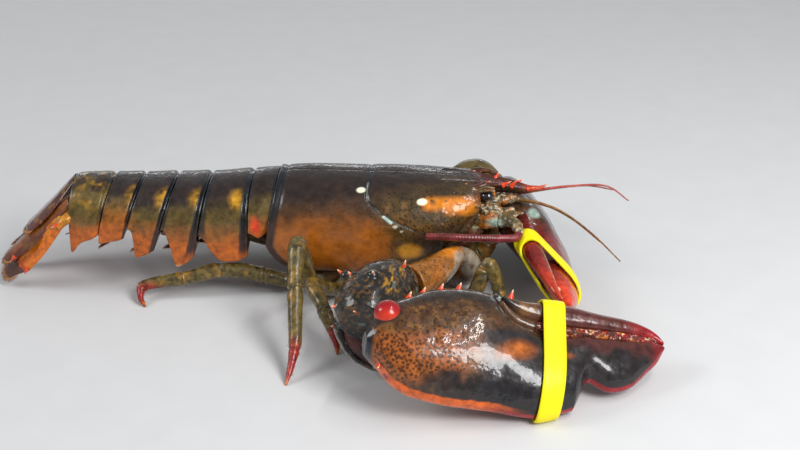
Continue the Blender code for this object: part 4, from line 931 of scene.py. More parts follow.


# Centre and radii of the gold mark on each side of a segment: partly the plate's own gold, partly a painted
# highlight where the key light glints
GOLD_AND_HIGHLIGHT_MARKS = (
    (), ((-25.5, 23, 65.3), (4.5, 7, 4.4)), ((-49.0, 21, 64.8), (6.0, 7, 5.0)),
    ((-70.5, 20.6, 65.6), (6.0, 7, 5.0)), ((-91, 18, 67.5), (5.0, 7, 4.6)), (),
)


def build_tail():
    """Six segments, each tucked under the one before it."""
    for number in range(6):
        form = Form()
        shares = np.concatenate(
            (np.linspace(0, 0.4, 26)[:-1], np.linspace(0.4, 0.93, 22)[:-1], np.linspace(0.93, 1.0, 8))
        )
        form.shell([tail_ring(number, share) for share in shares])
        thing = make(f"tail_plate_{number + 1}", form, "tail", (f"abdomen_{number + 1}",))
        finer = thing.modifiers.new("finer", "SUBSURF")
        finer.levels = finer.render_levels = 1
        settle(thing)
        roughen(thing, (0.16, 7, 11), (0.07, 2.6, 12))
        coat = Coat(thing, "back", 0.25)
        p = coat.points
        z = p[:, 2]
        rough = 3.0 * grain(p, 8, 13) + 1.5 * grain(p, 3, 14)
        high = (70, 66, 66, 66, 69, 74)[number]
        low = (50, 43, 44, 48, 54, 46)[number]
        coat.lay("olive", fade(high, high - 9, z + rough) * 0.85, 0.40)
        coat.lay("flank", fade(low + 12, low, z + rough) * 0.6, 0.2)
        coat.lay("pleuron", fade(low + 3, low - 10, z + rough), 0.05)
        front = SEGMENT_BREAKS[number] - GAP
        rear = SEGMENT_BREAKS[number + 1]
        lean = SEGMENT_LEAN((front + rear) / 2)
        share = ((p[:, 0] - lean * (CREST_HEIGHT - z) / LEAN_HEIGHT) - front) / (rear - front)
        coat.lay("edge", fade(0.15, 0.09, share + 0.02 * grain(p, 4, 15)) * fade(26, 34, z) * 0.92, 0.0)
        coat.lay("edge", fade(0.90, 0.98, share) * fade(38, 48, z) * 0.8, 0.0)
        if GOLD_AND_HIGHLIGHT_MARKS[number]:
            centre, radii = GOLD_AND_HIGHLIGHT_MARKS[number]
            for _, side in SIDES:
                # Partly the plate's own gold, partly a painted highlight where the key light's reflection
                # falls
                mark = spot(p, mirrored(centre, side), radii, 0.8) * fade(-0.9, 0.1, grain(p, 3.0, 16))
                coat.lay("gold", mark * fade(0.11, 0.16, share), 0.15)
        if number == 5:
            coat.fleck("olive", -0.2, 0.4, 5, 17, 0.8, 0.35)
            coat.lay("gold", fade(-0.1, 0.9, grain(p, 2.6, 18)) * fade(56, 66, z) * 0.5, 0.4)
            coat.lay("pleuron", fade(52, 44, z + rough))
        if number == 0:
            for _, side in SIDES:
                coat.patch("spine", mirrored((-14.4, 29.5, 49.5), side), (2.6, 5, 5.5), 0.6)
        coat.lay("spine_tip", fade(24.0, 21.8, z) * 0.6)
        coat.done()


# Tail fan

BLADES = {
    "telson": ((-133.8, 0, 71.8), (-171.8, 0, 38.4), 33, 4.0, (-0.66, 0, 0.75), 0.9, 3.5),
    "inner": ((-136.0, 13.5, 62.0), (-186.5, 12.5, 19.5), 21, 3.0, (-0.60, 0.34, 0.72), 0.6, 2.0),
    "outer": ((-140.5, 23.0, 52.0), (-189.0, 12.0, 7.5), 20, 3.0, (-0.54, 0.69, 0.42), 0.6, 2.0),
}


class Blade:
    """A thin paddle from a narrow root to a rounded end, arched across its width."""

    def __init__(self, root, tip, width, thickness, normal, rounding, camber):
        self.root = np.array(root, dtype=float)
        along = np.array(tip, dtype=float) - self.root
        self.length = np.linalg.norm(along)
        self.along = along / self.length
        normal = np.array(normal, dtype=float)
        self.normal = unit(normal - self.along * (normal @ self.along))
        self.across = np.cross(self.along, self.normal)
        self.width = width
        self.thickness = thickness
        self.camber = camber
        self.outline = curve(
            (0, 0.42), (0.12, 0.6), (0.4, 0.92), (0.65, 1.0), (0.85, 0.86 * rounding + 0.14),
            (0.95, 0.2 + 0.45 * rounding), (1, 0.12),
        )

    def point(self, share, y, lift):
        """A point at a share of the length, y across, and lift above the blade's own arch."""
        arch = self.camber * (1 - (y / (self.width / 2)) ** 2) - self.camber
        return self.root + self.along * self.length * share + self.across * y + self.normal * (lift + arch)

    def rings(self, ridges, sides=48, rows=70):
        """Cross sections, with ridges given as (share of half width, height, breadth)."""
        found = []
        for share in np.linspace(0, 1, rows):
            half = self.outline(share) * self.width / 2
            thick = self.thickness * (1.0 - 0.55 * share) / 2 * (1 if share < 0.985 else 0.6)
            ring = []
            for turn in TAU * np.arange(sides) / sides:
                y = half * power(math.cos(turn), 0.8)
                lift = thick * power(math.sin(turn), 0.9)
                if math.sin(turn) > 0:
                    for place, height, breadth in ridges:
                        bump = height * math.exp(-(((y / max(half, 0.1) - place) / breadth) ** 2))
                        lift += bump * math.sin(turn) * (1 - 0.6 * share)
                    lift += 0.10 * math.sin(y * 4.2) * math.sin(turn) * min(1, share * 3)
                ring.append(self.point(share, y, lift))
            found.append(ring)
        return found


def build_tail_fan():
    """Telson and four blades, with ridges, a jointed end lobe on the outer ones, and fringes."""
    random = np.random.default_rng(5)
    pieces = [("telson", 0, BLADES["telson"], "telson")]
    for word, side in SIDES:
        for kind in ("inner", "outer"):
            root, tip, width, thickness, normal, rounding, camber = BLADES[kind]
            values = (
                mirrored(root, side), mirrored(tip, side), width, thickness, mirrored(normal, side),
                rounding, camber,
            )
            pieces.append((kind, side, values, f"uropod_{word}_{kind}"))
    for kind, side, values, node in pieces:
        blade = Blade(*values)
        form = Form()
        if kind == "telson":
            ridges = ((-0.55, 0.7, 0.16), (0.55, 0.7, 0.16), (0.0, -0.5, 0.3))
        else:
            ridges = ((0.0, 0.9, 0.14), (0.45, 0.3, 0.12), (-0.45, 0.3, 0.12))
        form.shell(blade.rings(ridges))
        if kind == "outer":
            form.limb(flipped([
                ((-134.5, 17.5, 54.0), 4.4, 3.2), ((-138.5, 21.5, 52.0), 5.2, 3.4),
                ((-143.5, 24.5, 48.5), 4.6, 2.8),
            ], side), (0.3, 1.0 * side, 0.2), 24, 10)
        thing = make(f"fan_{node}", form, "fan", (node,))
        if kind == "outer":
            melt(thing, VOXELS["fan"], 2)
        coat = Coat(thing, "fan_brown" if kind != "outer" else "fan_orange", 0.25)
        p = coat.points
        share = ((p - blade.root) @ blade.along) / blade.length
        out = ((p - blade.root) @ blade.across) / (blade.width / 2)
        if kind == "outer":
            coat.lay("streak", fade(0.35, 0.0, np.abs(out)) * 0.5 * fade(0.05, 0.2, share))
            coat.lay("fan_brown", fade(0.1, -0.05, share) * 0.3)
            coat.lay("fan_dark", fade(0.70, 0.74, share + 0.03 * grain(p, 3, 2)) * 0.9)
            coat.lay("crimson", bell(share, 0.70, 0.02) * 0.7)
            coat.lay("fringe", fade(0.93, 0.99, share) * 0.7)
            coat.patch("ochre", mirrored((-138.5, 22.0, 54.0), side), (8, 8, 6), 0.6, 0.8)
        elif kind == "inner":
            coat.fleck("mottle", -0.1, 0.5, 5, 21, 0.45)
            coat.lay("flank", fade(0.55, 0.2, np.abs(out)) * 0.5)
            coat.lay("fan_dark", fade(0.8, 0.98, share) * 0.6)
        else:
            coat.lay("back", fade(0.5, 0.0, share) * 0.8)
            coat.fleck("gold", 0.2, 0.6, 3, 22, 0.3)
        coat.done()
        hairs = Form()
        lines = 240 if kind != "telson" else 200
        for index in range(lines):
            turn = math.pi * ((index + 0.5) / lines - 0.5)
            share_at = 0.80 + 0.195 * math.cos(turn) ** 0.5
            half = blade.outline(share_at) * blade.width / 2
            y = half * power(math.sin(turn), 0.55)
            root = blade.point(min(share_at, 0.985), float(y), 0.0)
            aim = blade.along * (0.9 + 0.2 * random.random()) + blade.across * (
                0.75 * math.sin(turn) + 0.12 * random.normal()
            )
            aim = aim + blade.normal * 0.08 * random.normal()
            hairs.hair(root, aim, size("fringe_length") * (0.75 + 0.4 * random.random()), 0.13)
        bristles(f"fringe_{node}", hairs, "fringe")
        if kind != "telson":
            sign = 1 if (blade.across @ np.array((0, side, 0))) > 0 else -1
            spikes = []
            place = 0.69 if kind == "outer" else 0.86
            half = blade.outline(place) * blade.width / 2
            root = blade.point(place, sign * half * 0.93, 0.2)
            spikes.append((root, blade.along + blade.across * sign * 0.25, 4.2, 1.3))
            if kind == "outer":
                spikes.append(
                    (mirrored((-140.5, 26.0, 51.5), side), mirrored((-0.75, 0.45, -0.2), side), 6.5, 1.5)
                )
                for y in np.linspace(-0.78, 0.78, 15):
                    spikes.append(
                        (blade.point(0.70, y * half, 0.7), blade.along + blade.normal * 0.25, 1.7, 0.42)
                    )
            thorns(f"fan_teeth_{node}", spikes)


def build_swimmerets():
    """Four pairs of small soft paddles that hang under the tail."""
    random = np.random.default_rng(9)
    for number, station in enumerate((-34, -56, -78, -99)):
        belly = ABDOMEN_FLOOR(station)
        for word, side in SIDES:
            root = mirrored((station - 2, 9.5, belly + 0.2), side)
            tip = mirrored((station - 22, 13.0, belly - (5, 8, 14, 16)[number]), side)
            blade = Blade(root, tip, 12, 2.0, (-0.6, 0, 0.8), 0.6, 1.0)
            form = Form()
            form.shell(blade.rings(((0.0, 0.4, 0.2),), 28, 40))
            node = f"swimmeret_{word}_{number + 2}"
            thing = make(f"paddle_{node}", form, "soft", (node,))
            coat = Coat(thing, "swimmeret", 0.1)
            coat.lay(
                "fringe", fade(0.8, 1.0, ((coat.points - blade.root) @ blade.along) / blade.length) * 0.4,
            )
            coat.done()
            hairs = Form()
            for index in range(70):
                turn = math.pi * ((index + 0.5) / 70 - 0.5)
                share = 0.6 + 0.38 * math.cos(turn)
                half = blade.outline(share) * 6
                aim = blade.along + blade.across * math.sin(turn) * 0.8
                aim = aim + blade.normal * 0.1 * random.normal()
                hairs.hair(blade.point(share, half * power(math.sin(turn), 0.6), 0.0), aim, 3.0, 0.1)
            bristles(f"paddle_hairs_{word}_{number + 2}", hairs, "fringe")


# Walking legs

UPPER_RADII = ((4.4, 4.4), (4.8, 4.4), (5.2, 5.0), (5.4, 5.2), (5.2, 4.8))
LOWER_RADII = (
    (5.2, 4.8), (5.3, 5.0), (4.4, 4.4), (4.6, 4.4), (3.9, 3.7), (3.2, 3.2), (1.9, 1.9), (0.7, 0.7),
)
LEGS = {
    "right_2": (
        ((74, -16.7, 6.2), (86, -34, 6.6), (106, -50, 8.5), (121, -58.5, 13.5), (130.2, -60, 35)),
        (
            (133.2, -60.3, 36.8), (135.2, -60.8, 32), (137.3, -62, 26), (138.2, -62.8, 21), (141.5, -68, 9),
            (142.5, -70, 6.5), (144.5, -73, 2.5), (145.5, -75, 0.4),
        ),
    ),
    "right_3": (
        ((40, -16.7, 6.2), (36, -32, 6.2), (29, -45, 14), (25, -54, 21), (23.5, -61, 25)),
        (
            (23.6, -61.4, 25), (26, -67, 23.5), (31, -76, 19), (33, -81, 17), (38, -90, 10.5),
            (40, -94, 7.5), (41.5, -99, 3.5), (42, -103, 0.4),
        ),
    ),
    "right_4": (
        ((22, -16.7, 6.2), (21, -33, 6.2), (19, -45, 21), (18, -56, 43), (17.5, -66, 56)),
        (
            (17.5, -66.5, 56.3), (17.5, -74, 54), (17.6, -86, 43), (17.8, -91, 38.5), (19.2, -115, 17),
            (19, -119, 13.5), (17, -129, 5.5), (15.3, -136.5, 0.4),
        ),
    ),
    "right_5": (
        ((10, -16.7, 6.2), (3, -24, 8), (-12, -24.5, 12), (-26, -24.5, 15.5), (-39, -26, 17.3)),
        (
            (-39.5, -26.1, 17.3), (-46, -27, 16.8), (-60, -29, 13.8), (-64, -29.3, 13.2), (-88, -31, 9.8),
            (-91, -33, 8.6), (-91, -39, 4.5), (-87.5, -44, 0.4),
        ),
    ),
    "left_2": (
        ((74, 16.7, 6.2), (73, 33, 6.2), (74, 45, 17), (76, 57, 33), (78, 66, 39.5)),
        (
            (78.2, 66.5, 39.5), (80, 74, 37), (84, 84, 28), (85, 88, 24.5), (91, 108, 9.5), (92, 111, 7.5),
            (94, 117, 3.5), (95, 121, 0.4),
        ),
    ),
    "left_3": (
        ((48, 16.7, 6.2), (48, 33, 6.2), (47, 45, 17), (46, 57, 33), (46, 66, 40.5)),
        (
            (46, 66.5, 40.5), (46.5, 74, 38.5), (49, 86, 29), (49.5, 90, 25.5), (53, 112, 10),
            (53.5, 115, 8), (55, 123, 3.5), (56, 128, 0.4),
        ),
    ),
    "left_4": (
        ((22, 16.7, 6.2), (21, 33, 6.2), (18, 45, 17), (15, 57, 33), (13, 66, 40.5)),
        (
            (13, 66.5, 40.5), (12.5, 74, 38.5), (11, 87, 29), (10.5, 92, 25.5), (7, 116, 10.5),
            (6.5, 119, 8.5), (4, 128, 3.5), (2.5, 134, 0.4),
        ),
    ),
    "left_5": (
        ((10, 16.7, 6.2), (3, 24, 8), (-12, 26, 12), (-26, 28, 15.5), (-38, 32, 17.3)),
        (
            (-38.5, 32.2, 17.3), (-44, 34.5, 16.8), (-57, 41, 13.8), (-61, 43, 13.2), (-82, 55, 9),
            (-85, 57, 8), (-89, 62, 4), (-90, 67, 0.4),
        ),
    ),
}


def joint_swell(joints, count):
    """Thickening on each side of the joints of a leg, as a function of the share of its length."""

    def grow(share):
        place = share * count
        value = 1.0
        for joint in joints:
            after = math.exp(-(((place - joint - 0.16) / 0.10) ** 2))
            before = math.exp(-(((place - joint + 0.16) / 0.10) ** 2))
            value += 0.10 * after + 0.08 * before
            value -= 0.16 * math.exp(-(((place - joint) / 0.07) ** 2))
        return value

    return grow


def build_legs():
    """Eight walking legs with their joints, claws and bristles."""
    random = np.random.default_rng(3)
    for name, (upper, lower) in LEGS.items():
        run = np.array(lower[-1], dtype=float) - np.array(upper[0], dtype=float)
        side = unit((-run[1], run[0], 0))
        slim = 0.92 if name.endswith(("2", "3")) else 1.0
        for part, points, radii, joints in (
            ("upper", upper, UPPER_RADII, (1, 2)), ("lower", lower, LOWER_RADII, (3, 5)),
        ):
            form = Form()
            knots = [(point, wide * slim, high * slim) for point, (wide, high) in zip(points, radii)]
            form.limb(knots, side, 26, 14, joint_swell(joints, len(points) - 1))
            if part == "lower":
                form.ball(upper[-1], (4.6 * slim,) * 3, 16, 20)
            if name == "right_2" and part == "lower":
                form.ball((132.6, -60.2, 37.0), (4.9, 4.9, 4.9), 20, 24)
            node = f"leg_{name}_{part}"
            thing = make(f"shank_{name}_{part}", form, "leg", (node,))
            if name == "right_2" and part == "lower":
                melt(thing, VOXELS["leg"], 3)
            swell(thing, lambda p: 0.16 * grain(p, 3.0, 31) + 0.10 * np.maximum(grain(p, 1.3, 30), 0))
            coat = Coat(thing, "leg", 0.35)
            p = coat.points
            coat.lay("leg_dark", fade(-0.1, 0.5, grain(p, 2.2, 32) + 0.4 * grain(p, 6, 34)) * 0.65)
            coat.lay(
                "membrane", spot(p, upper[-1], (6, 6, 6), 0.4) * fade(0.0, 0.5, grain(p, 2.0, 35)) * 0.5,
            )
            coat.fleck("ochre", 0.2, 0.7, 4, 33, 0.25)
            if part == "lower":
                end = np.array(lower[-1], dtype=float)
                reach = np.linalg.norm(p - end, axis=1)
                length = np.linalg.norm(np.array(lower[4], dtype=float) - end)
                coat.lay("crimson", fade(length * 1.15, length * 0.75, reach) * 0.85, 0.2)
                coat.lay("streak", fade(4.5, 2.0, reach) * 0.6)
            else:
                coat.lay("membrane", fade(20, 8, np.linalg.norm(p - np.array(upper[0]), axis=1)) * 0.5)
            coat.done()
            hairs = Form()
            path = smooth_path(knots, 10)
            across, up = frames(path[:, :3], side)
            first = 0 if part == "upper" else int(len(path) * 0.35)
            for _ in range(36 if part == "upper" else 150):
                index = random.integers(first, len(path) - 3)
                turn = random.random() * TAU
                out = across[index] * math.cos(turn) * path[index, 3]
                out = out + up[index] * math.sin(turn) * path[index, 4]
                root = path[index, :3] + out * 0.97
                if root[2] < 1.5:
                    continue
                forward = unit(path[index + 2, :3] - path[index, :3])
                aim = unit(out) + 0.9 * forward + 0.3 * random.normal(size=3)
                hairs.hair(root, aim, 1.3 + 1.5 * random.random(), 0.09)
            bristles(f"bristles_{name}_{part}", hairs, "mottle")


# Claws

OUTER_MARGIN = curve(
    (0, 0.47), (0.034, 0.366), (0.103, 0.19), (0.229, 0.098), (0.389, 0.052), (0.531, 0.0), (0.606, 0.03),
    (0.68, 0.078), (0.75, 0.13), (0.823, 0.196), (0.869, 0.26), (0.926, 0.373), (0.969, 0.464), (1, 0.57),
)
INNER_MARGIN = curve(
    (0, 0.62), (0.034, 0.78), (0.09, 0.865), (0.134, 0.905), (0.203, 0.965), (0.271, 0.998),
    (0.354, 1.0), (0.429, 0.954), (0.463, 0.889), (0.514, 0.897), (0.669, 0.889), (0.777, 0.837),
    (0.88, 0.797), (0.943, 0.752), (0.981, 0.693), (1, 0.63),
)
BITE = curve(
    (0.42, 0.96), (0.451, 0.843), (0.48, 0.758), (0.526, 0.706), (0.577, 0.68), (0.663, 0.661),
    (0.834, 0.654), (0.949, 0.638), (1, 0.60),
)
CLAW_SWELL = curve(
    (0, 0.5), (0.034, 0.72), (0.12, 0.92), (0.26, 1.0), (0.37, 1.0), (0.5, 0.86), (0.6, 0.74), (0.77, 0.55),
    (0.9, 0.36), (1, 0.14),
)
OLD_NOTCH = curve(
    (0.66, 0.0), (0.685, 0.08), (0.704, 0.16), (0.725, 0.185), (0.75, 0.135), (0.785, 0.06), (0.83, 0.02),
    (0.87, 0.0),
)
THUMB_START = 0.451
THUMB_HINGE = (0.45, 0.90)
# Half thickness of the finger as a share of the palm's, by whether the claw has the old bite mark
THUMB_THICKNESS = {True: 0.82, False: 0.58}
PALM_SIDES, THUMB_SIDES = 72, 56
# How much thinner the palm is at its outer margin
PALM_KEEL = 0.3
BAND_THICKNESS = 1.6
BAND_CLEARANCE = 0.8
BAND_STRIPS, BAND_POINTS = 8, 160
# Where a band starts along the claw, how far it slants over the width, and how broad it is
CRUSHER_BAND = (92.0, 9.5, 13.0)
CUTTER_BAND = (134.0, -44.0, 12.5)
# Ball of the right claw's joint with the wrist: along, across and out of the claw, and its radii
KNOB_PLACE, KNOB_RADII = (12.0, 54.5, 11.6), (7.8, 7.8, 7.6)


class Claw:
    """Where a claw lies, and the sections of its palm and movable finger."""

    def __init__(self, extent, faces, origin, along, widthwise, notched, opening):
        self.length, self.width, self.thick = extent
        self.faces = faces
        self.origin = np.array(origin, dtype=float)
        self.along = unit(along)
        widthwise = np.array(widthwise, dtype=float)
        self.across = unit(widthwise - self.along * (widthwise @ self.along))
        self.normal = np.cross(self.along, self.across)
        self.notched = notched
        self.opening = math.radians(opening)

    def place(self, u, v, n):
        """A point in the animal's frame, from millimetres along, across and out of the claw."""
        return self.origin + self.along * u + self.across * v + self.normal * n

    def at(self, share, across, out, shift=0.0):
        """A point at shares of the claw's length and width, shifted across by millimetres."""
        return self.place(share * self.length, across * self.width + shift, out)

    def upper_half(self, share):
        """How far the upper face stands out."""
        return CLAW_SWELL(share) * self.thick * self.faces[0]

    def flat(self, points):
        """Millimetres along, across and out of the claw, of points in the animal's frame."""
        off = points - self.origin
        return off @ self.along, off @ self.across, off @ self.normal

    def swing(self, u, v):
        """Turn a point of the finger about its hinge."""
        hinge_u, hinge_v = THUMB_HINGE[0] * self.length, THUMB_HINGE[1] * self.width
        du, dv = u - hinge_u, v - hinge_v
        cos, sin = math.cos(self.opening), math.sin(self.opening)
        return hinge_u + du * cos - dv * sin, hinge_v + du * sin + dv * cos

    def oval(self, low, high, half, sides, keel):
        """A rounded section between two margins, thinner at the outer one by the keel."""
        points = []
        for turn in TAU * np.arange(sides) / sides:
            v = (low + high) / 2 + (high - low) / 2 * power(math.cos(turn), 0.85)
            thin = 1 - keel * max(0.0, -math.cos(turn)) ** 2
            face = self.faces[0] if math.sin(turn) >= 0 else self.faces[1]
            points.append((v, half * thin * face * power(math.sin(turn), 0.9)))
        return points

    def palm_section(self, share):
        """Margins and section of the palm, and beyond the hinge of the fixed finger."""
        low = OUTER_MARGIN(share) + (OLD_NOTCH(share) if self.notched else 0.0)
        high = INNER_MARGIN(share)
        if share > 0.42:
            high = min(high, BITE(share) - GAP / self.width)
        half = CLAW_SWELL(share) * self.thick
        return self.oval(low * self.width, high * self.width, half, PALM_SIDES, PALM_KEEL)

    def thumb_section(self, share):
        """Section of the movable finger."""
        low = BITE(share) + GAP / self.width
        high = max(INNER_MARGIN(share), low + 0.02)
        if share < 0.5:
            high = max(high, 0.9)
        half = CLAW_SWELL(share) * self.thick * THUMB_THICKNESS[self.notched]
        return self.oval(low * self.width, high * self.width, half, THUMB_SIDES, 0.0)

    def palm(self):
        """Rings of the palm with the fixed finger."""
        shares = np.concatenate(
            (np.linspace(0, 0.06, 10)[:-1], np.linspace(0.06, 0.94, 130)[:-1], np.linspace(0.94, 1, 14))
        )
        return [
            [self.place(share * self.length, v, n) for v, n in self.palm_section(share)] for share in shares
        ]

    def thumb(self):
        """Rings of the movable finger, shut or held a little open."""
        rings = []
        for share in np.concatenate((np.linspace(THUMB_START, 0.94, 90)[:-1], np.linspace(0.94, 1, 14))):
            ring = []
            for v, n in self.thumb_section(share):
                u_turned, v_turned = self.swing(share * self.length, v)
                ring.append(self.place(u_turned, v_turned, n))
            rings.append(ring)
        return rings

    def oblique(self, start, slope):
        """Points of both fingers where a slanting band edge crosses them, along and across."""
        found = []
        for section, swings in ((self.palm_section, False), (self.thumb_section, True)):
            for index, (v_guess, _) in enumerate(section((start + slope * 0.5) / self.length)):
                share = (start + slope * v_guess / self.width) / self.length
                v, n = section(share)[index]
                if swings:
                    _, v = self.swing(share * self.length, v)
                found.append((float(v), float(n)))
        return found

    def band(self, start, slope, breadth):
        """Rings across a rubber band pulled tight round both fingers, slanting over the width."""
        loops = []
        for strip in range(BAND_STRIPS + 1):
            begin = start + breadth * strip / BAND_STRIPS
            loop = hull(self.oblique(begin, slope))
            loops.append((begin, loop, abs(2 * strip / BAND_STRIPS - 1)))
        rings = []
        for inner in (False, True):
            for begin, loop, edge in (loops if not inner else reversed(loops)):
                rise = BAND_CLEARANCE
                # Its edges are a little thinner than its middle
                rise += 0.12 if inner else BAND_THICKNESS * (1 - 0.16 * edge ** 6)
                ring = []
                for v, n in offset_loop(loop, rise, BAND_POINTS):
                    point = self.place(begin + slope * v / self.width, v, n)
                    ring.append((point[0], point[1], max(point[2], 0.0)))
                rings.append(ring)
        return rings


def hull(points):
    """The convex outline round flat points, counterclockwise."""
    ordered = sorted(set(points))

    def chain(run):
        kept = []
        for point in run:
            while len(kept) > 1:
                (ax, ay), (bx, by) = kept[-2], kept[-1]
                if (bx - ax) * (point[1] - ay) - (by - ay) * (point[0] - ax) > 0:
                    break
                kept.pop()
            kept.append(point)
        return kept[:-1]

    return chain(ordered) + chain(reversed(ordered))


def offset_loop(loop, rise, count):
    """Points round a convex loop pushed out by rise, evenly spaced along it."""
    loop = np.array(loop)
    edges = np.roll(loop, -1, axis=0) - loop
    lengths = np.linalg.norm(edges, axis=1)
    outward = np.stack((edges[:, 1], -edges[:, 0]), 1) / np.maximum(lengths, 1e-9)[:, None]
    at_points = outward + np.roll(outward, 1, axis=0)
    at_points /= np.maximum(np.linalg.norm(at_points, axis=1), 1e-9)[:, None]
    pushed = loop + at_points * rise
    # Start where the loop is furthest along the width, so that neighbouring loops match
    pushed = np.roll(pushed, -int(np.argmax(pushed[:, 0])), axis=0)
    closed = np.vstack((pushed, pushed[:1]))
    run = np.concatenate(([0.0], np.cumsum(np.linalg.norm(np.diff(closed, axis=0), axis=1))))
    at = np.linspace(0, run[-1], count, endpoint=False)
    return np.stack((np.interp(at, run, closed[:, 0]), np.interp(at, run, closed[:, 1])), 1)


def closed_band(name, rings, nodes):
    """A band from its rings, the last joined to the first, so that it has no ends to fill."""
    form = Form()
    count = len(rings[0])
    for ring in rings:
        form.points.extend([tuple(point) for point in ring])
    for row in range(len(rings)):
        here, there = row * count, (row + 1) % len(rings) * count
        for index in range(count):
            other = (index + 1) % count
            form.faces.append((here + index, here + other, there + other, there + index))
    make(name, form, "rubber", nodes)


CRUSHER_TILT, CRUSHER_DROP, CRUSHER_TURN = math.radians(34), math.radians(-9), math.radians(11.2)
CRUSHER_MARGIN = np.array((132.0, -177.6, 10.4))
CRUSHER_MARGIN_U, CRUSHER_MARGIN_V = 67.5, 4.2
CUTTER_WRIST = np.array((144.5, 62.0, 30.5))
CUTTER_TIP = np.array((181.5, -95.0, 22.5))
CUTTER_TILT = math.radians(53)


def crusher_claw():
    """The right claw, laid on its outer margin with its broad face tilted up."""
    cos = math.cos(CRUSHER_DROP)
    along = np.array((cos * math.cos(CRUSHER_TURN), cos * math.sin(CRUSHER_TURN), math.sin(CRUSHER_DROP)))
    level = np.array((-math.sin(CRUSHER_TURN), math.cos(CRUSHER_TURN), 0))
    across = level * math.cos(CRUSHER_TILT) + np.cross(along, level) * math.sin(CRUSHER_TILT)
    origin = CRUSHER_MARGIN - along * CRUSHER_MARGIN_U - across * CRUSHER_MARGIN_V
    return Claw(
        (size("crusher_length"), size("crusher_width"), 18.0), (1.12, 0.65), origin, along, across, True,
        0.0,
    )


def cutter_claw():
    """The left claw, stood on its outer margin before the head with its tips to the right."""
    along = unit(CUTTER_TIP - CUTTER_WRIST)
    level = unit((-along[1], along[0], 0))
    rise = np.cross(along, level)
    if rise[2] < 0:
        rise = -rise
    across = rise * math.sin(CUTTER_TILT) - level * math.cos(CUTTER_TILT)
    width = size("cutter_width")
    return Claw(
        (size("cutter_length"), width, 16.0), (1.0, 1.0), CUTTER_WRIST - across * width * 0.53, along,
        across, False, 4.0,
    )


def teeth(claw, seed, rows, largest):
    """Rounded teeth and grains between the two fingers: root, outward normal and radius of each."""
    random = np.random.default_rng(seed)
    found = []
    for share in np.linspace(0.56, 0.965, rows):
        half = claw.upper_half(share)
        for _ in range(5):
            turn = random.uniform(0.2, 2.9)
            wide, high = 4.6 * (1.1 - 0.55 * share), half * 0.47
            v = BITE(share) * claw.width - 1.2 + wide * math.cos(turn)
            n = half * 0.30 + high * math.sin(turn)
            size_now = random.uniform(0.35, 1.0) * largest * (0.7 + 0.5 * share)
            found.append((claw.place(share * claw.length + random.uniform(-1, 1), v, n), size_now))
    return found


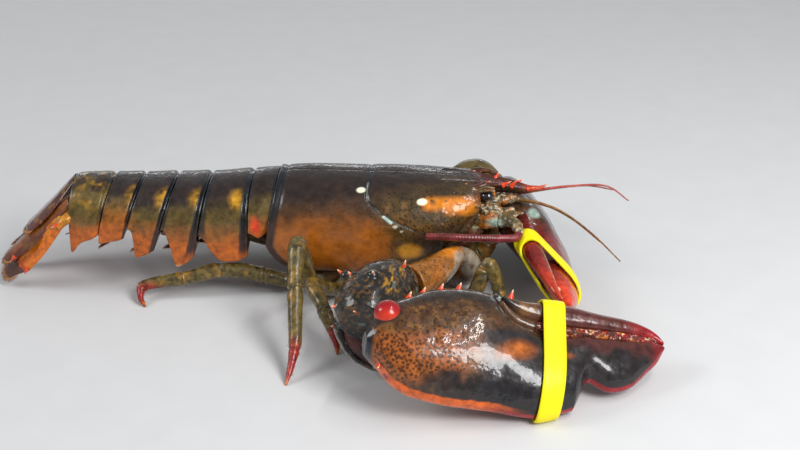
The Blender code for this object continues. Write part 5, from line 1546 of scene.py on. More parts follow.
def build_crusher():
    """The right claw: palm, movable finger, spines, teeth and the ball of its joint."""
    claw = crusher_claw()
    form = Form().shell(claw.palm())
    # Wrist socket, hinge knuckles and low bosses along the inner margin
    for share, lift in ((0.43, 9.0), (0.455, 5.0)):
        form.ball(claw.at(share, 0.885, lift), (4.2, 3.4, 3.0), 16, 20)
    for share in (0.125, 0.185, 0.258, 0.33, 0.37, 0.41):
        form.ball(
            claw.at(share, INNER_MARGIN(share) - 0.045, 4.0),
            (4.2, 3.2, 3.2), 14, 18,
        )
    palm = make("crusher_palm", form, "claw", ("claw_right_palm",))
    melt(palm, size("skin_voxel"), 5)

    def height(p):
        u, v, _ = claw.flat(p)
        share = u / claw.length
        raised = 0.30 * grain(p, 13, 41) + 0.10 * grain(p, 4.5, 42)
        # Beaded outer margin
        low = OUTER_MARGIN(share) * claw.width
        bead = bell(v - low, 2.0, 2.4) * fade(0.10, 0.2, share) * fade(0.66, 0.6, share)
        return raised + bead * (0.28 + 0.06 * np.sin(u * 1.9))

    swell(palm, height)
    coat = Coat(palm, "claw_brown", 0.55)
    p = coat.points
    u, v, out = claw.flat(p)
    share = u / claw.length
    rough = grain(p, 12, 43)
    fine = grain(p, 4, 44)
    level = v / claw.width + 0.04 * rough + 0.03 * fine
    coat.lay("mottle", fade(0.0, 0.5, grain(p, 2.2, 50)) * fade(0.45, 0.3, share) * 0.6)
    coat.lay(
        "claw_orange",
        fade(0.60, 0.46, level) * fade(0.18, 0.27, level) * fade(0.40, 0.20, share + 0.05 * rough) * 0.75,
        0.86,
    )
    coat.lay("wrist", fade(0.70, 0.86, level) * fade(0.46, 0.36, share) * 0.85, 0.5)
    coat.lay("claw_black", fade(0.30, 0.42, share + 0.05 * rough) * fade(0.66, 0.54, level) * 0.95, 0.2)
    coat.lay("claw_black", fade(0.30, 0.20, level) * fade(0.10, 0.24, share + 0.05 * rough) * 0.92, 0.3)
    coat.lay("maroon", fade(0.54, 0.62, share) * fade(0.44, 0.54, level) * 0.75, 0.2)
    coat.patch("claw_orange", (147.0, -161.4, 38.4), (13, 6, 3.4), 0.8, speckle=0.15)
    coat.lay("claw_orange", spot(p, (174.0, -153.0, 31.5), (6, 4, 2.4), 0.7) * fade(-0.5, 0.3, fine) * 0.7)
    low = (OUTER_MARGIN(share) + OLD_NOTCH(share)) * claw.width
    rim = v - low
    strip = fade(6.4, 5.6, out + 0.5 * fine) * fade(12, 8, rim) * fade(0.02, 0.05, share)
    coat.lay("margin", strip * fade(0.52, 0.36, share), 0.0)
    coat.lay("crimson", fade(3.8, 2.6, out) * fade(8, 5, rim) * fade(0.34, 0.48, share) * 0.9, 0.0)
    coat.lay("edge", fade(0.028, 0.012, share), 0.0)
    coat.lay("crimson", fade(0.93, 0.995, share) * 0.8, 0.0)
    coat.lay("crimson", spot(p, claw.at(0.06, 0.28, 2.0), (2.2, 2.2, 2.2), 0.3))
    hinge = claw.at(0.445, 0.86, 9.0)
    coat.patch("claw_black", hinge, (14, 12, 10), 0.5, 0.8, 0.1)
    coat.lay("edge", spot(p, claw.place(11.5, 54, 9.0), (10.5, 10.5, 10.5), 0.2) * 0.8, 0.0)
    coat.lay("teal", spot(p, hinge, (11, 9, 8), 0.5) * fade(0.25, 0.6, grain(p, 2.2, 45)), 0.0)
    coat.done()

    ball = Form().ball(claw.place(*KNOB_PLACE), KNOB_RADII, 30, 40)
    knob = make("crusher_knob", ball, "spine")
    coat = Coat(knob, "crimson")
    side_by = claw.flat(coat.points)[1] - KNOB_PLACE[1]
    coat.lay("far_red", fade(-1.0, 5.0, side_by + 1.5 * grain(coat.points, 6, 40)) * 0.8)
    coat.lay("spine", fade(0.0, -5.0, side_by + 1.5 * grain(coat.points, 6, 40)) * 0.55)
    coat.done()

    finger_form = Form().shell(claw.thumb())
    finger = make("crusher_finger", finger_form, "claw", ("claw_right_finger",))
    melt(finger, VOXELS["finger"], 3)

    def finger_height(p):
        u, v, out = claw.flat(p)
        share = u / claw.length
        middle = (BITE(share) + INNER_MARGIN(share)) / 2 * claw.width
        ridge = bell(v - middle, 1.0, 1.6) * fade(0.0, 4.0, out) * fade(0.46, 0.55, share)
        return 0.14 * grain(p, 10, 46) + 0.4 * ridge

    swell(finger, finger_height)
    coat = Coat(finger, "maroon", 0.3)
    p = coat.points
    u, v, _ = claw.flat(p)
    share = u / claw.length
    coat.lay("claw_brown", fade(0.66, 0.5, share) * 0.9, 0.45)
    coat.lay("mottle", fade(0.62, 0.5, share) * fade(0.0, 0.5, grain(p, 5, 47)) * 0.6)
    coat.lay("claw_black", fade(0.51, 0.46, share) * 0.85, 0.1)
    coat.lay("crimson", fade(0.82, 0.98, share), 0.1)
    coat.lay("crimson", fade(0.80, 0.92, v / claw.width) * fade(0.55, 0.7, share) * 0.7)
    coat.done()

    pad = Form()
    knots = []
    for share in np.linspace(0.55, 0.975, 14):
        half = claw.upper_half(share)
        knots.append(
            (claw.at(share, BITE(share), half * 0.30, -1.2), 4.6 * (1.1 - 0.55 * share), half * 0.47)
        )
    pad.limb(knots, claw.across, 24, 8)
    knots = []
    for share in np.linspace(0.445, 0.58, 8):
        half = claw.upper_half(share)
        knots.append((claw.at(share, BITE(share), half * 0.20, -0.5), 5.0, half * 0.45))
    gusset = make("crusher_hinge_skin", Form().limb(knots, claw.across, 24, 8), "claw")
    Coat(gusset, "claw_brown", 0.3).done()
    cushion = make("crusher_tooth_pad", pad, "claw")
    paint(cushion, "maroon", 0.3, [("feeler_pink", 0.0, 0.6, 2.0, 39, 0.5)])
    grains = Form()
    for root, radius in teeth(claw, 61, 420, 0.55):
        grains.ball(root, (radius, radius, radius * 0.8), 6, 8)
    for index, share in enumerate(np.linspace(0.60, 0.93, 9)):
        radius = (1.9, 2.2, 2.1, 1.9, 1.7, 1.5, 1.3, 1.2, 1.0)[index]
        grains.ball(
            claw.at(share, BITE(share), CLAW_SWELL(share) * claw.thick * 0.72, -1.0),
            (radius, radius, radius), 12, 14,
        )
    tooth = make("crusher_teeth", grains, "spine")
    paint(tooth, "maroon", 0.0, [
        ("crimson", -0.2, 0.3, 2.2, 48, 0.85),
        ("streak", 0.1, 0.6, 2.6, 38, 0.7),
        ("spine_tip", 0.25, 0.7, 1.3, 49, 0.7),
    ])

    spines = []
    for share in (0.145, 0.192, 0.252, 0.312):
        root = claw.at(share, INNER_MARGIN(share) - 0.030, 5.5)
        spines.append(
            (root, claw.across + claw.normal * 0.75 + claw.along * 0.25, 4.8, 2.8, claw.along * 0.8)
        )
    leant = claw.across + claw.normal * 0.7 + claw.along * 0.2
    spines.append((claw.at(0.487, 0.93, 5.0), leant, 5.2, 2.1, claw.along * 0.6))
    leant = -claw.across + claw.normal * 0.4 - claw.along * 0.5
    spines.append((claw.at(0.045, 0.37, 4.0), leant, 3.6, 2.0))
    thorns("crusher_spines", spines)
    closed_band("crusher_band", claw.band(*CRUSHER_BAND), ("claw_right_band",))


def build_cutter():
    """The left claw: palm, slender movable finger, spines and teeth."""
    claw = cutter_claw()
    form = Form().shell(claw.palm())
    form.ball(claw.at(0.43, 0.9, -4), (3.4, 3.0, 3.0), 14, 18)
    palm = make("cutter_palm", form, "claw", ("claw_left_palm",))
    melt(palm, VOXELS["cutter"], 4)
    roughen(palm, (0.25, 12, 51), (0.1, 4, 52))
    coat = Coat(palm, "claw_brown", 0.55)
    p = coat.points
    share = claw.flat(p)[0] / claw.length
    fine = grain(p, 4, 53)
    coat.lay("claw_black", fade(-0.2, 0.5, grain(p, 11, 54) + 0.2) * 0.7, 0.4)
    coat.lay("membrane", fade(0.3, 0.7, fine) * 0.25)
    coat.lay("far_red", fade(0.40, 0.55, share + 0.03 * fine) * 0.9, 0.1)
    coat.lay("spine", fade(0.74, 0.9, share) * 0.8, 0.0)
    coat.patch("teal", (162.0, -4.0, 44.6), (5, 4, 3), 0.4, speckle=0.0)
    coat.done()
    finger = make(
        "cutter_finger", Form().shell(claw.thumb()), "claw",
        ("claw_left_finger",),
    )
    coat = Coat(finger, "far_red", 0.1)
    share = claw.flat(coat.points)[0] / claw.length
    coat.lay("spine", fade(0.75, 0.95, share) * 0.5)
    coat.lay("maroon", fade(0.56, 0.47, share) * 0.8)
    coat.done()
    grains = Form()
    for index, share in enumerate(np.linspace(0.54, 0.95, 26)):
        radius = 1.0 + 0.7 * (index % 3 == 0)
        u, v = claw.swing(share * claw.length, BITE(share) * claw.width - 0.6)
        grains.ball(claw.place(u, v, -1.0 + 2.0 * (index % 2)), (radius, radius, radius), 8, 10)
    paint(make("cutter_teeth", grains, "spine"), "streak", 0.0, [
        ("spine_tip", 0.0, 0.5, 3, 55, 0.8),
    ])
    spines = []
    for share in (0.10, 0.34):
        root = claw.at(share, INNER_MARGIN(share) - 0.03, -2.0)
        spines.append((root, claw.across - claw.normal * 0.4 + claw.along * 0.25, 4.0, 1.7))
    spines.append((claw.at(0.475, 0.89, 0), claw.across + claw.along * 0.3, 4.0, 1.6))
    thorns("cutter_spines", spines)
    closed_band("cutter_band", claw.band(*CUTTER_BAND), ("claw_left_band",))


# Arms and wrists

WRIST_SPINES = (
    ((48.5, -95, 49), (-0.75, 0.25, 0.45), 6.0, 2.5), ((54.0, -106, 54), (-0.5, -0.3, 0.8), 5.0, 2.6),
    ((66.3, -111, 57.5), (0.0, -0.5, 0.85), 4.6, 2.6), ((82.5, -95, 52.5), (0.25, 0.0, 1.0), 6.5, 2.2),
    ((46.6, -122, 43.5), (-0.8, -0.5, 0.3), 5.0, 2.4), ((58.0, -127.0, 43.0), (-0.4, -0.8, 0.45), 5.6, 2.2),
    ((45.1, -116.5, 28.3), (-0.85, -0.4, 0.0), 5.0, 2.4),
)


def build_arms():
    """Upper arm and wrist of each claw."""
    form = Form()
    form.limb([
        ((106, -16.7, 8.5), 7.0, 6.5), ((111, -21, 10), 8.0, 7.5), ((118, -28, 14.5), 8.0, 7.5),
        ((121, -33, 22), 7.0, 6.5), ((119, -37, 30), 6.0, 5.5), ((114, -41, 36), 4.5, 4.5),
    ], (0.6, 0.4, -0.6), 28, 6)
    form.limb([
        ((115, -42, 37.5), 3.5, 4.5), ((110, -47, 36), 7.0, 7.5), ((103, -57, 34), 9.5, 9.0),
        ((94, -69, 33.8), 10.5, 10.5), ((86, -79, 35.0), 10.0, 11.5),
    ], (0.7, 0.7, 0), 36, 8)
    arm = make("arm_right", form, "claw", ("claw_right_arm",))
    melt(arm, VOXELS["arm"], 4)
    roughen(arm, (0.2, 8, 61), (0.08, 3, 62))
    coat = Coat(arm, "merus", 0.52)
    p = coat.points
    coat.fleck("mottle", -0.2, 0.6, 9, 63, 0.5)
    # Painted shade: the lower half of the upper arm turns dark brown towards the floor
    coat.lay("claw_brown", fade(36, 28, p[:, 2]) * 0.6)
    coat.patch("streak", (109, -50, 45), (9, 9, 8), 0.5, 0.7, 0.25)
    hip = fade(114, 119, p[:, 0] - 0.35 * (p[:, 1] + 40))
    coat.lay("membrane", hip * fade(-0.6, 0.2, grain(p, 4, 64)) * 0.9, 0.3)
    # Painted shade: darker still on the lowest part, near the floor
    coat.lay("claw_brown", fade(24, 14, p[:, 2]) * 0.8)
    coat.done()

    form = Form()
    form.limb([
        ((83, -82, 37), 10.5, 11.5), ((78, -88, 38), 16.0, 17.0), ((70, -98, 38.5), 19.5, 20.0),
        ((64, -109, 38.8), 20.0, 19.5), ((61, -120, 38.5), 18.0, 17.5), ((60, -129, 37), 13.0, 13.0),
    ], (0.8, 0.6, 0), 56, 10)
    form.limb([
        ((50, -107, 34.5), 5.0, 5.0), ((45.5, -114, 25.5), 3.6, 3.0), ((49, -121, 17.5), 2.9, 2.4),
        ((55, -125.5, 11.5), 2.3, 2.0), ((64, -129, 7.5), 1.8, 1.8), ((70, -133, 7.5), 1.2, 1.2),
    ], (-0.8, 0.5, -0.3), 24, 10)
    for root, direction, _, radius in WRIST_SPINES:
        form.ball(np.array(root) - unit(direction) * 0.6, (radius * 1.5,) * 3, 12, 16)
    hollow = Form().limb([
        ((60, -108, 32), 7.0, 7.0), ((56, -116, 24.5), 9.0, 7.5), ((58, -121, 18.5), 8.0, 6.5),
        ((64, -125.5, 13.5), 6.0, 5.0), ((71, -131, 10.5), 3.5, 3.0),
    ], (-0.8, 0.5, -0.3), 28, 10)
    skin = make("wrist_right_skin", hollow, "soft")
    coat = Coat(skin, "rostrum", 0.1)
    coat.lay("edge", fade(22, 12, coat.points[:, 2]) * 0.5)
    coat.fleck("teal", 0.3, 0.8, 5, 60, 0.35)
    coat.done()
    wrist = make("wrist_right", form, "claw", ("claw_right_wrist",))
    melt(wrist, VOXELS["wrist"], 4)
    roughen(wrist, (0.35, 9, 65), (0.15, 3, 66))
    coat = Coat(wrist, "wrist", 0.4)
    p = coat.points
    coat.lay("mottle", fade(0.0, 0.6, grain(p, 1.5, 67) + 0.4 * grain(p, 7, 68)) * 0.45, 0.5)
    coat.lay(
        "gold",
        stripe(p, (79, -101, 53), (74, -115, 51), 5.0, 0.6)
        * fade(-0.1, 0.4, grain(p * np.array((1, 0.35, 1)), 1.4, 69)) * 0.8,
        0.1,
    )
    coat.fleck("teal", 0.5, 0.8, 3.2, 70, 0.25)
    # Painted shade: the lower half of the wrist darker towards the floor
    coat.lay("edge", fade(36, 28, p[:, 2]) * 0.5)
    rim = fade(58, 52, p[:, 0]) * fade(30, 24, p[:, 2]) + fade(18, 13, p[:, 2])
    coat.lay(
        "membrane",
        np.clip(rim, 0, 1) * fade(0.2, 0.8, -coat.normals[:, 0] - 0.4 * coat.normals[:, 2]) * 0.8, 0.1,
    )
    coat.done()
    thorns(
        "wrist_right_spines", [(*values, np.array((0.3, 0, 0.4))) for values in WRIST_SPINES]
    )

    form = Form()
    form.limb([
        ((104, 16.7, 8.5), 7.0, 6.5), ((101, 28, 12), 8.0, 7.5), ((97, 40, 17), 9.0, 8.5),
        ((96, 51, 24.5), 10.0, 9.5), ((98.5, 59, 29.8), 10.5, 10.5), ((103.5, 64.1, 32.8), 9.8, 10.2),
        ((109.0, 68.1, 35.2), 8.2, 8.8),
    ], (0.9, -0.3, 0), 30, 8)
    arm = make("arm_left", form, "claw", ("claw_left_arm",))
    roughen(arm, (0.2, 8, 71))
    paint(arm, "merus", 0.5, [("mottle", -0.2, 0.6, 9, 72, 0.6)])
    form = Form()
    form.limb([
        ((109.6, 68.5, 35.5), 7.0, 8.0), ((113.2, 70.9, 36.0), 9.0, 10.0), ((119, 71.3, 36.6), 12.5, 12.8),
        ((126, 69.8, 36), 14.5, 13.8), ((133, 67.5, 33.5), 12.0, 11.5), ((140, 65, 31.5), 8.5, 8.5),
        ((144, 63.2, 31), 7.0, 7.0),
    ], (0.1, 1.0, 0), 44, 8)
    wrist = make("wrist_left", form, "claw", ("claw_left_wrist",))
    roughen(wrist, (0.35, 8, 73), (0.12, 3, 74))
    paint(wrist, "olive", 0.4, [("leg", -0.1, 0.5, 6, 75, 0.8), ("wrist", 0.1, 0.6, 4, 76, 0.7)])
    direction = unit((0.5 * math.cos(0.2), 0.3, math.sin(0.2)))
    spine = (np.array((122, 70, 37)) + direction * 13.4, direction, 4.5, 1.8)
    thorns("wrist_left_spines", [spine])


# Head

EYE_CENTRE = (132.0, 16.2, 62.9)
EYE_RADII = (4.3, 3.9, 3.2)
FAR_EYE_DROP = 3.0
ANTENNA_BASES = {
    "right": (
        ((124.8, -17.5, 46.5), 5.0, 4.6), ((131, -18.5, 48.0), 6.6, 6.2), ((138, -19.5, 48.6), 6.0, 5.8),
        ((145, -23.0, 49.0), 4.2, 4.2), ((149.5, -28.0, 48.4), 3.5, 3.5), ((151.5, -34.0, 46.7), 3.1, 3.1),
        ((151.3, -37.0, 45.8), 2.9, 2.9),
    ),
    "left": (
        ((124.0, 16.0, 47.5), 5.0, 4.6), ((129, 18.0, 49.0), 5.8, 5.4), ((132.5, 22.0, 50.3), 5.0, 4.8),
        ((133, 27.0, 51.0), 4.4, 4.2), ((131.5, 31.5, 51.4), 3.8, 3.6), ((129.2, 35.0, 51.7), 3.3, 3.2),
    ),
}
ANTENNA_SCALES = {
    "right": ((131, -22.5, 51.0), (155.0, -19.5, 52.5)),
    "left": ((127, 17.0, 52.6), (142.0, 14.5, 56.5)),
}


def build_head():
    """Eyes on their stalks, feeler bases with their scales, and the outer mouth limbs."""
    random = np.random.default_rng(17)
    for word, side in SIDES:
        centre = mirrored(EYE_CENTRE, side) - np.array((0, 0, FAR_EYE_DROP if side > 0 else 0))
        make(
            f"eyeball_{word}", Form().ball(centre, EYE_RADII, 26, 36), "eye",
            (f"eye_{word}",),
        )
        form = Form()
        form.limb([
            (mirrored((127.2, 6.0, 60.4), side), 3.0, 3.0), (mirrored((130.2, 9.5, 61.6), side), 3.2, 3.2),
            (centre - mirrored((0.4, 2.0, 0.6), side), 3.6, 3.6),
        ], (0, 0, 1), 28, 8)
        form.ball(centre - mirrored((0.1, 1.9, 0.0), side), (5.6, 3.4, 4.4), 20, 32)
        stalk = make(f"stalk_{word}", form, "face", (f"eyestalk_{word}",))
        coat = Coat(stalk, "face", 0.3)
        coat.lay("streak", fade(6.4, 5.2, np.linalg.norm(coat.points - centre, axis=1)) * 0.45)
        coat.fleck("flank", -0.2, 0.5, 3, 81, 0.6)
        coat.done()
        lid = Form()
        lift = centre[2] - EYE_CENTRE[2]
        for step, bend in ((0.0, 1.0), (1.5, 0.75)):
            lid.limb(flipped([
                ((125.4 - 0.4 * step, 15.6, 64.6 + lift + 0.8 * step), 0.9 * bend, 0.9 * bend),
                ((128.6, 17.6 - step, 66.9 + lift + 0.8 * step), 1.2 * bend, 1.0 * bend),
                ((132.6, 18.0 - step, 67.5 + lift + 0.8 * step), 1.2 * bend, 1.0 * bend),
                ((136.6, 16.2 - step, 66.2 + lift + 0.8 * step), 0.9 * bend, 0.8 * bend),
            ], side), (0, 1, 0), 14, 10)
        paint(make(f"lid_{word}", lid, "face"), "face", 0.3, [
            ("face_pale", -0.2, 0.6, 2.4, 78, 0.45),
            ("flank", 0.0, 0.5, 2, 80, 0.6),
        ])

        form = Form()
        joints = joint_swell((2.3, 4.2), len(ANTENNA_BASES[word]) - 1)
        form.limb(ANTENNA_BASES[word], (0, 0, 1), 30, 12, joints)
        root, tip = (np.array(point, dtype=float) for point in ANTENNA_SCALES[word])
        blade = Blade(root, tip, 9.5, 1.8, mirrored((0.05, 0.5, 0.85), side), 0.2, 0.8)
        form.shell(blade.rings(((0.3, 0.4, 0.2),), 32, 40))
        base = make(f"feeler_base_{word}", form, "face", (f"antenna_{word}_base",))
        melt(base, VOXELS["face"], 2)
        swell(base, lambda p: 0.30 * np.maximum(grain(p, 1.6, 82) - 0.1, 0) + 0.2 * grain(p, 3.5, 83))
        coat = Coat(base, "face", 0.35)
        p = coat.points
        coat.fleck("face_pale", 0.25, 0.6, 1.8, 84, 0.8)
        coat.fleck("mottle", 0.0, 0.5, 4, 85, 0.7)
        if side < 0:
            coat.patch("flank", (131.5, -22.5, 52.0), (7, 6, 2.6), 0.4, 0.9, 0.1)
            coat.patch("streak", (130.5, -24.0, 45.0), (5.5, 5, 3.2), 0.5, 0.8, 0.1)
            coat.patch("teal", (137.0, -24.5, 48.0), (5, 4, 3.2), 0.5, 0.7, 0.0)
        coat.lay(
            "face_pale",
            spot(p, ANTENNA_BASES[word][-2][0], (5, 5, 5), 0.5) * fade(-0.4, 0.4, grain(p, 2, 79)) * 0.6,
            0.1,
        )
        coat.done()

        form = Form()
        form.limb(flipped([
            ((117.5, 8.0, 19.0), 5.5, 6.0), ((122, 8.4, 18.0), 6.4, 7.0),
            ((128, 8.6, 20.0), 6.0, 6.4), ((133, 8.2, 26.0), 5.0, 5.0),
            ((135.5, 7.8, 33.0), 4.0, 4.0), ((136, 7.4, 40.0), 1.6, 1.6),
        ], side), (0, 1, 0), 26, 10, joint_swell((1.9, 3.1), 5))
        mouth = make(f"mouth_limb_{word}", form, "leg", (f"maxilliped_{word}",))
        paint(mouth, "mottle", 0.35, [("leg", -0.2, 0.4, 4, 86, 0.8)])
        hairs = Form()
        for _ in range(260):
            t = random.random()
            across, up = random.uniform(-4.5, 1.0), random.uniform(-4, 4)
            root = mirrored((119 + 17 * t ** 0.8, 8 + across, 22 + 18 * t ** 2 + up), side)
            hairs.hair(
                root, mirrored((0.35, -0.6, 0.7), side) + 0.3 * random.normal(size=3),
                3.5 + 3 * random.random(), 0.1,
            )
        bristles(f"mouth_hairs_{word}", hairs, "mottle")

        # Warts and small limbs between the eye, the beak and the feeler bases
        form = Form()
        for _ in range(60):
            spot_at = mirrored(
                (random.uniform(125.5, 133), random.uniform(12, 24), random.uniform(50, 59)), side,
            )
            radius = random.uniform(0.5, 1.25)
            form.ball(spot_at, (radius * 1.2, radius, radius), 6, 9)
        form.limb(flipped([
            ((126.0, 10.0, 55.0), 5.0, 4.0), ((131, 14.0, 54.6), 5.4, 3.4),
            ((136.5, 16.0, 54.2), 3.6, 2.6), ((141, 16.5, 54.0), 1.6, 1.4),
        ], side), (0, 1, 0), 24, 8)
        form.limb(flipped([
            ((126, 9.0, 57.0), 5.0, 5.0), ((134, 10.5, 56.5), 5.2, 4.6),
            ((141, 9.5, 56.8), 4.4, 3.9), ((147, 8.0, 57.0), 3.2, 3.0),
            ((151, 6.5, 57.2), 1.8, 1.8),
        ], side), (0, 1, 0), 24, 8, joint_swell((1.9, 3.2), 4))
        form.limb(flipped([
            ((128, 15.0, 49.0), 5.0, 5.0), ((136, 16.5, 50.0), 5.0, 4.4),
            ((143, 16.5, 51.5), 3.6, 3.4), ((149, 15.0, 52.8), 2.0, 1.8),
        ], side), (0, 1, 0), 24, 8, joint_swell((1.5,), 3))
        form.limb(flipped([
            ((112, 15.0, 28), 8.0, 7.0), ((119, 16.5, 36), 8.5, 7.0),
            ((124.5, 16.0, 43), 6.5, 6.5), ((128, 13.0, 50), 5.0, 5.0),
        ], side), (0, 1, 0), 24, 8)
        plate = make(f"face_plate_{word}", form, "face")
        melt(plate, VOXELS["face"], 1)
        coat = Coat(plate, "face", 0.3)
        coat.fleck("face_pale", 0.1, 0.5, 1.8, 87, 0.8)
        coat.fleck("flank", 0.1, 0.6, 3.2, 88, 0.7)
        coat.lay("rostrum", fade(46, 40, coat.points[:, 2]) * 0.85)
        coat.done()


def rings_of_feeler(length, step, depth):
    """Fine rings along a feeler, as a function of the share of its length."""
    return lambda share: 1.0 + depth * math.sin(TAU * share * length / step)


def whip_path(path, spread, reach):
    """Knots of one of the two whips of an antennule."""
    share = np.arange(len(path)) / (len(path) - 1)
    tracks = [curve(*zip(share, [point[axis] for point in path])) for axis in range(3)]
    knots = []
    for index, at in enumerate(share * reach):
        offset = np.array((0.0, 0.55 * spread, -0.35 * spread)) * (0.6 + 1.9 * at)
        radius = 1.25 - 0.85 * index / (len(path) - 1)
        knots.append((np.array([track(at) for track in tracks]) + offset, radius, radius))
    return knots


ANTENNULE_PATHS = {
    "right": (
        (150, -4.0, 54.8), (165, -7.0, 53.0), (180, -11.0, 48.0), (198, -20.0, 37.0), (215, -30.0, 22.5),
    ),
    "left": ((150, 4.0, 55.0), (165, 3.5, 57.5), (185, 2.0, 60.5), (208, 1.0, 60.6), (222, 0.0, 50.6)),
}
FEELER_PATHS = {
    "right": (
        ((151.2, -37.4, 45.7), 2.7), ((149.3, -41.5, 45.8), 2.6), ((144.0, -44.0, 46.6), 2.5),
        ((130.0, -46.0, 47.9), 2.4), ((112.0, -48.0, 49.8), 2.3), ((94.0, -49.0, 51.4), 2.1),
    ),
    "left": (
        ((128.6, 36.0, 51.8), 2.6), ((124.0, 39.0, 52.4), 2.5), ((114.0, 41.5, 53.2), 2.4),
        ((98.0, 43.0, 54.0), 2.3), ((70.0, 44.0, 55.0), 2.2), ((30.0, 43.0, 54.0), 1.9),
        ((-30.0, 40.5, 47.0), 1.5), ((-90.0, 41.0, 33.0), 1.1), ((-140.0, 47.0, 16.0), 0.7),
        ((-165.0, 51.0, 6.0), 0.4),
    ),
}


def build_feelers():
    """The two long feelers, one of them broken short, and the two pairs of small ones."""
    for word, side in SIDES:
        knots = [(point, radius, radius) for point, radius in FEELER_PATHS[word]]
        run = sum(np.linalg.norm(np.subtract(a[0], b[0])) for a, b in zip(knots, knots[1:]))
        form = Form().limb(knots, (0.1, 0.2, 1.0), 18, 60, rings_of_feeler(run, 1.3, 0.015))
        thing = make(f"feeler_{word}", form, "feeler", (f"antenna_{word}_whip",))
        paint(thing, "feeler", 0.15, [("maroon", 0.0, 0.6, 9, 91, 0.6)])
        form = Form()
        form.limb(flipped([
            ((128.6, 3.6, 55.5), 2.6, 2.6), ((139, 3.8, 55.6), 2.9, 2.9),
            ((149, 4.0, 55.0), 2.3, 2.3), ((153, 4.2, 54.6), 1.6, 1.6),
        ], side), (0, 0, 1), 24, 12, joint_swell((1.1, 2.0), 3))
        for spread, reach in ((-1.0, 1.0), (1.0, 0.82)):
            form.limb(
                whip_path(ANTENNULE_PATHS[word], spread, reach), (0.1, 1.0, 0.2), 12, 60,
                rings_of_feeler(75, 1.0, 0.06),
            )
        thing = make(f"antennule_pair_{word}", form, "feeler", (f"antennule_{word}",))
        coat = Coat(thing, "feeler_pink" if side > 0 else "mottle", 0.1)
        coat.lay("face", fade(156, 150, coat.points[:, 0]) * 0.8, 0.3)
        coat.fleck("feeler", 0.0, 0.6, 8, 92, 0.35)
        coat.done()


# Stage

CAMERA_PLACE = (129.995, -783.842, 418.0)
CAMERA_AXES = (
    (0.9979739189, 0.0107315127, 0.0627127066),
    (0.0516326278, 0.4393447042, -0.8968335390),
    (-0.0371768735, 0.8982544541, 0.4379004836),
)
PICTURE = (800, 450)
FOCAL_PIXELS = 1342.0
SENSOR_WIDTH = 36.0
SURROUND_COLOUR, SURROUND_STRENGTH = (0.86, 0.90, 0.95, 1.0), 0.40
# Half the side of the floor, and how far it lies below the lowest points, in metres
FLOOR_REACH = 4.0
FLOOR_DROP = 0.00005
# Name, place and aim in metres, width and height in metres, watts
LIGHTS = (
    ("key_light", (0.70, -0.73, 0.77), (0.06, -0.10, 0.03), (0.40, 0.50), 12.0),
    ("back_light", (-0.10, 1.35, 0.30), (0.0, 0.0, 0.06), (1.7, 0.08), 1.5),
    ("line_light", (0.52, -0.20, 0.95), (0.06, -0.12, 0.03), (0.60, 0.03), 2.6),
    ("left_light", (-1.3, -0.2, 1.1), (-0.1, 0.0, 0.0), (0.6, 0.6), 9.0),
)


def softbox(name, place, aim, extent, power_watts):
    """A soft rectangular studio light."""
    lamp = bpy.data.lights.new(name, "AREA")
    lamp.shape = "RECTANGLE"
    lamp.size, lamp.size_y = extent
    lamp.energy = power_watts
    thing = bpy.data.objects.new(name, lamp)
    thing.location = place
    thing.rotation_euler = (Vector(aim) - Vector(place)).to_track_quat("-Z", "Y").to_euler()
    bpy.context.scene.collection.objects.link(thing)


def build_stage():
    """Camera, floor, soft lights and a pale surround."""
    lens = bpy.data.cameras.new("photo_camera")
    lens.sensor_width = SENSOR_WIDTH
    lens.lens = lens.sensor_width * FOCAL_PIXELS / PICTURE[0]
    lens.clip_start = 0.01
    camera = bpy.data.objects.new("photo_camera", lens)
    bpy.context.scene.collection.objects.link(camera)
    place = Vector(np.array(CAMERA_PLACE) * MM + ORIGIN)
    camera.matrix_world = Matrix.Translation(place) @ Matrix(CAMERA_AXES).to_4x4()
    bpy.context.scene.camera = camera

    mesh = bpy.data.meshes.new("studio_floor")
    reach, drop = FLOOR_REACH, -FLOOR_DROP
    # A plain sRGB picture, in which the shell's colours come out as their hex values say
    bpy.context.scene.view_settings.view_transform = "Standard"
    mesh.from_pydata(
        [(-reach, -reach, drop), (reach, -reach, drop), (reach, reach, drop), (-reach, reach, drop)], [],
        [(0, 1, 2, 3)],
    )
    floor = bpy.data.objects.new("studio_floor", mesh)
    mesh.materials.append(floor_material())
    bpy.context.scene.collection.objects.link(floor)

    for light in LIGHTS:
        softbox(*light)
    world = bpy.data.worlds.new("studio_surround")
    bpy.context.scene.world = world
    world.use_nodes = True
    background = world.node_tree.nodes["Background"]
    feed(world.node_tree, background, {"Color": SURROUND_COLOUR, "Strength": SURROUND_STRENGTH})


# Add-on


class LobsterSizes(bpy.types.PropertyGroup):
    """Lengths of the lobster that a user may change."""


class LobsterColours(bpy.types.PropertyGroup):
    """Colours of the lobster that a user may change."""


LobsterSizes.__annotations__ = {
    key: bpy.props.FloatProperty(
        name=key.replace("_", " ").capitalize(), description=words, default=value, min=0.0, unit="LENGTH",
        precision=5,
    )
    for key, (value, words) in SIZES.items()
}
LobsterColours.__annotations__ = {
    key: bpy.props.FloatVectorProperty(
        name=key.replace("_", " ").capitalize(), description=words, default=linear(code), subtype="COLOR",
        min=0.0, max=1.0, size=3,
    )
    for key, (code, words) in COLOURS.items()
}


class AddStage(bpy.types.Operator):
    """Add the camera, the floor and the lights"""

    bl_idname = "lobster.add_stage"
    bl_label = "Stage"

    def execute(self, context):
        build_stage()
        return {"FINISHED"}


class AddCarapace(bpy.types.Operator):
    """Add the carapace with its beak and spines"""

    bl_idname = "lobster.add_carapace"
    bl_label = "Carapace"

    def execute(self, context):
        build_carapace()
        return {"FINISHED"}


class AddSternum(bpy.types.Operator):
    """Add the plates between the legs"""

    bl_idname = "lobster.add_sternum"
    bl_label = "Underside"

    def execute(self, context):
        build_sternum()
        return {"FINISHED"}


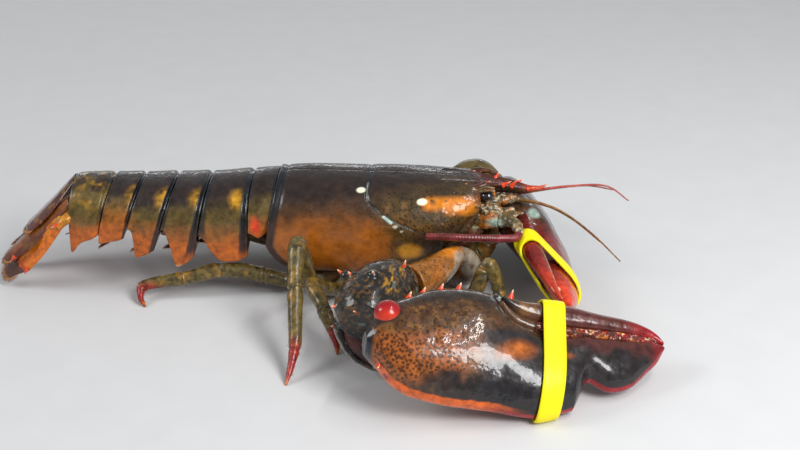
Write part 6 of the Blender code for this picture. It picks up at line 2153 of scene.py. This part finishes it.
class AddTail(bpy.types.Operator):
    """Add the six tail segments"""

    bl_idname = "lobster.add_tail"
    bl_label = "Tail"

    def execute(self, context):
        build_tail()
        return {"FINISHED"}


class AddTailFan(bpy.types.Operator):
    """Add the tail fan"""

    bl_idname = "lobster.add_tail_fan"
    bl_label = "Tail fan"

    def execute(self, context):
        build_tail_fan()
        return {"FINISHED"}


class AddSwimmerets(bpy.types.Operator):
    """Add the paddles under the tail"""

    bl_idname = "lobster.add_swimmerets"
    bl_label = "Swimmerets"

    def execute(self, context):
        build_swimmerets()
        return {"FINISHED"}


class AddLegs(bpy.types.Operator):
    """Add the eight walking legs"""

    bl_idname = "lobster.add_legs"
    bl_label = "Walking legs"

    def execute(self, context):
        build_legs()
        return {"FINISHED"}


class AddCrusher(bpy.types.Operator):
    """Add the right claw and its band"""

    bl_idname = "lobster.add_crusher"
    bl_label = "Right claw"

    def execute(self, context):
        build_crusher()
        return {"FINISHED"}


class AddCutter(bpy.types.Operator):
    """Add the left claw and its band"""

    bl_idname = "lobster.add_cutter"
    bl_label = "Left claw"

    def execute(self, context):
        build_cutter()
        return {"FINISHED"}


class AddArms(bpy.types.Operator):
    """Add the upper arms and the wrists of the claws"""

    bl_idname = "lobster.add_arms"
    bl_label = "Arms and wrists"

    def execute(self, context):
        build_arms()
        return {"FINISHED"}


class AddHead(bpy.types.Operator):
    """Add the eyes, the feeler bases and the mouth limbs"""

    bl_idname = "lobster.add_head"
    bl_label = "Head"

    def execute(self, context):
        build_head()
        return {"FINISHED"}


class AddFeelers(bpy.types.Operator):
    """Add the long and the small feelers"""

    bl_idname = "lobster.add_feelers"
    bl_label = "Feelers"

    def execute(self, context):
        build_feelers()
        return {"FINISHED"}


PIECES = (
    AddStage, AddCarapace, AddSternum, AddTail, AddTailFan, AddSwimmerets, AddLegs, AddCrusher, AddCutter,
    AddArms, AddHead, AddFeelers,
)


class LobsterPanel(bpy.types.Panel):
    """Lists the pieces of the lobster with its sizes and colours"""

    bl_idname = "VIEW3D_PT_lobster"
    bl_label = "Lobster"
    bl_space_type = "VIEW_3D"
    bl_region_type = "UI"
    bl_category = "Lobster"

    def draw(self, context):
        for piece in PIECES:
            self.layout.operator(piece.bl_idname)
        for key in SIZES:
            self.layout.prop(context.scene.lobster_sizes, key)
        for key in COLOURS:
            self.layout.prop(context.scene.lobster_colours, key)


def register():
    """Register the classes and put the settings on the scene."""
    for entry in (LobsterSizes, LobsterColours, *PIECES, LobsterPanel):
        bpy.utils.register_class(entry)
    bpy.types.Scene.lobster_sizes = bpy.props.PointerProperty(type=LobsterSizes)
    bpy.types.Scene.lobster_colours = bpy.props.PointerProperty(type=LobsterColours)


def unregister():
    """Take the settings and the classes away."""
    del bpy.types.Scene.lobster_colours
    del bpy.types.Scene.lobster_sizes
    for entry in reversed((LobsterSizes, LobsterColours, *PIECES, LobsterPanel)):
        bpy.utils.unregister_class(entry)


def main():
    """Build the lobster piece by piece."""
    register()
    for piece in PIECES:
        group, name = piece.bl_idname.split(".")
        getattr(getattr(bpy.ops, group), name)()


if __name__ == "__main__":
    main()
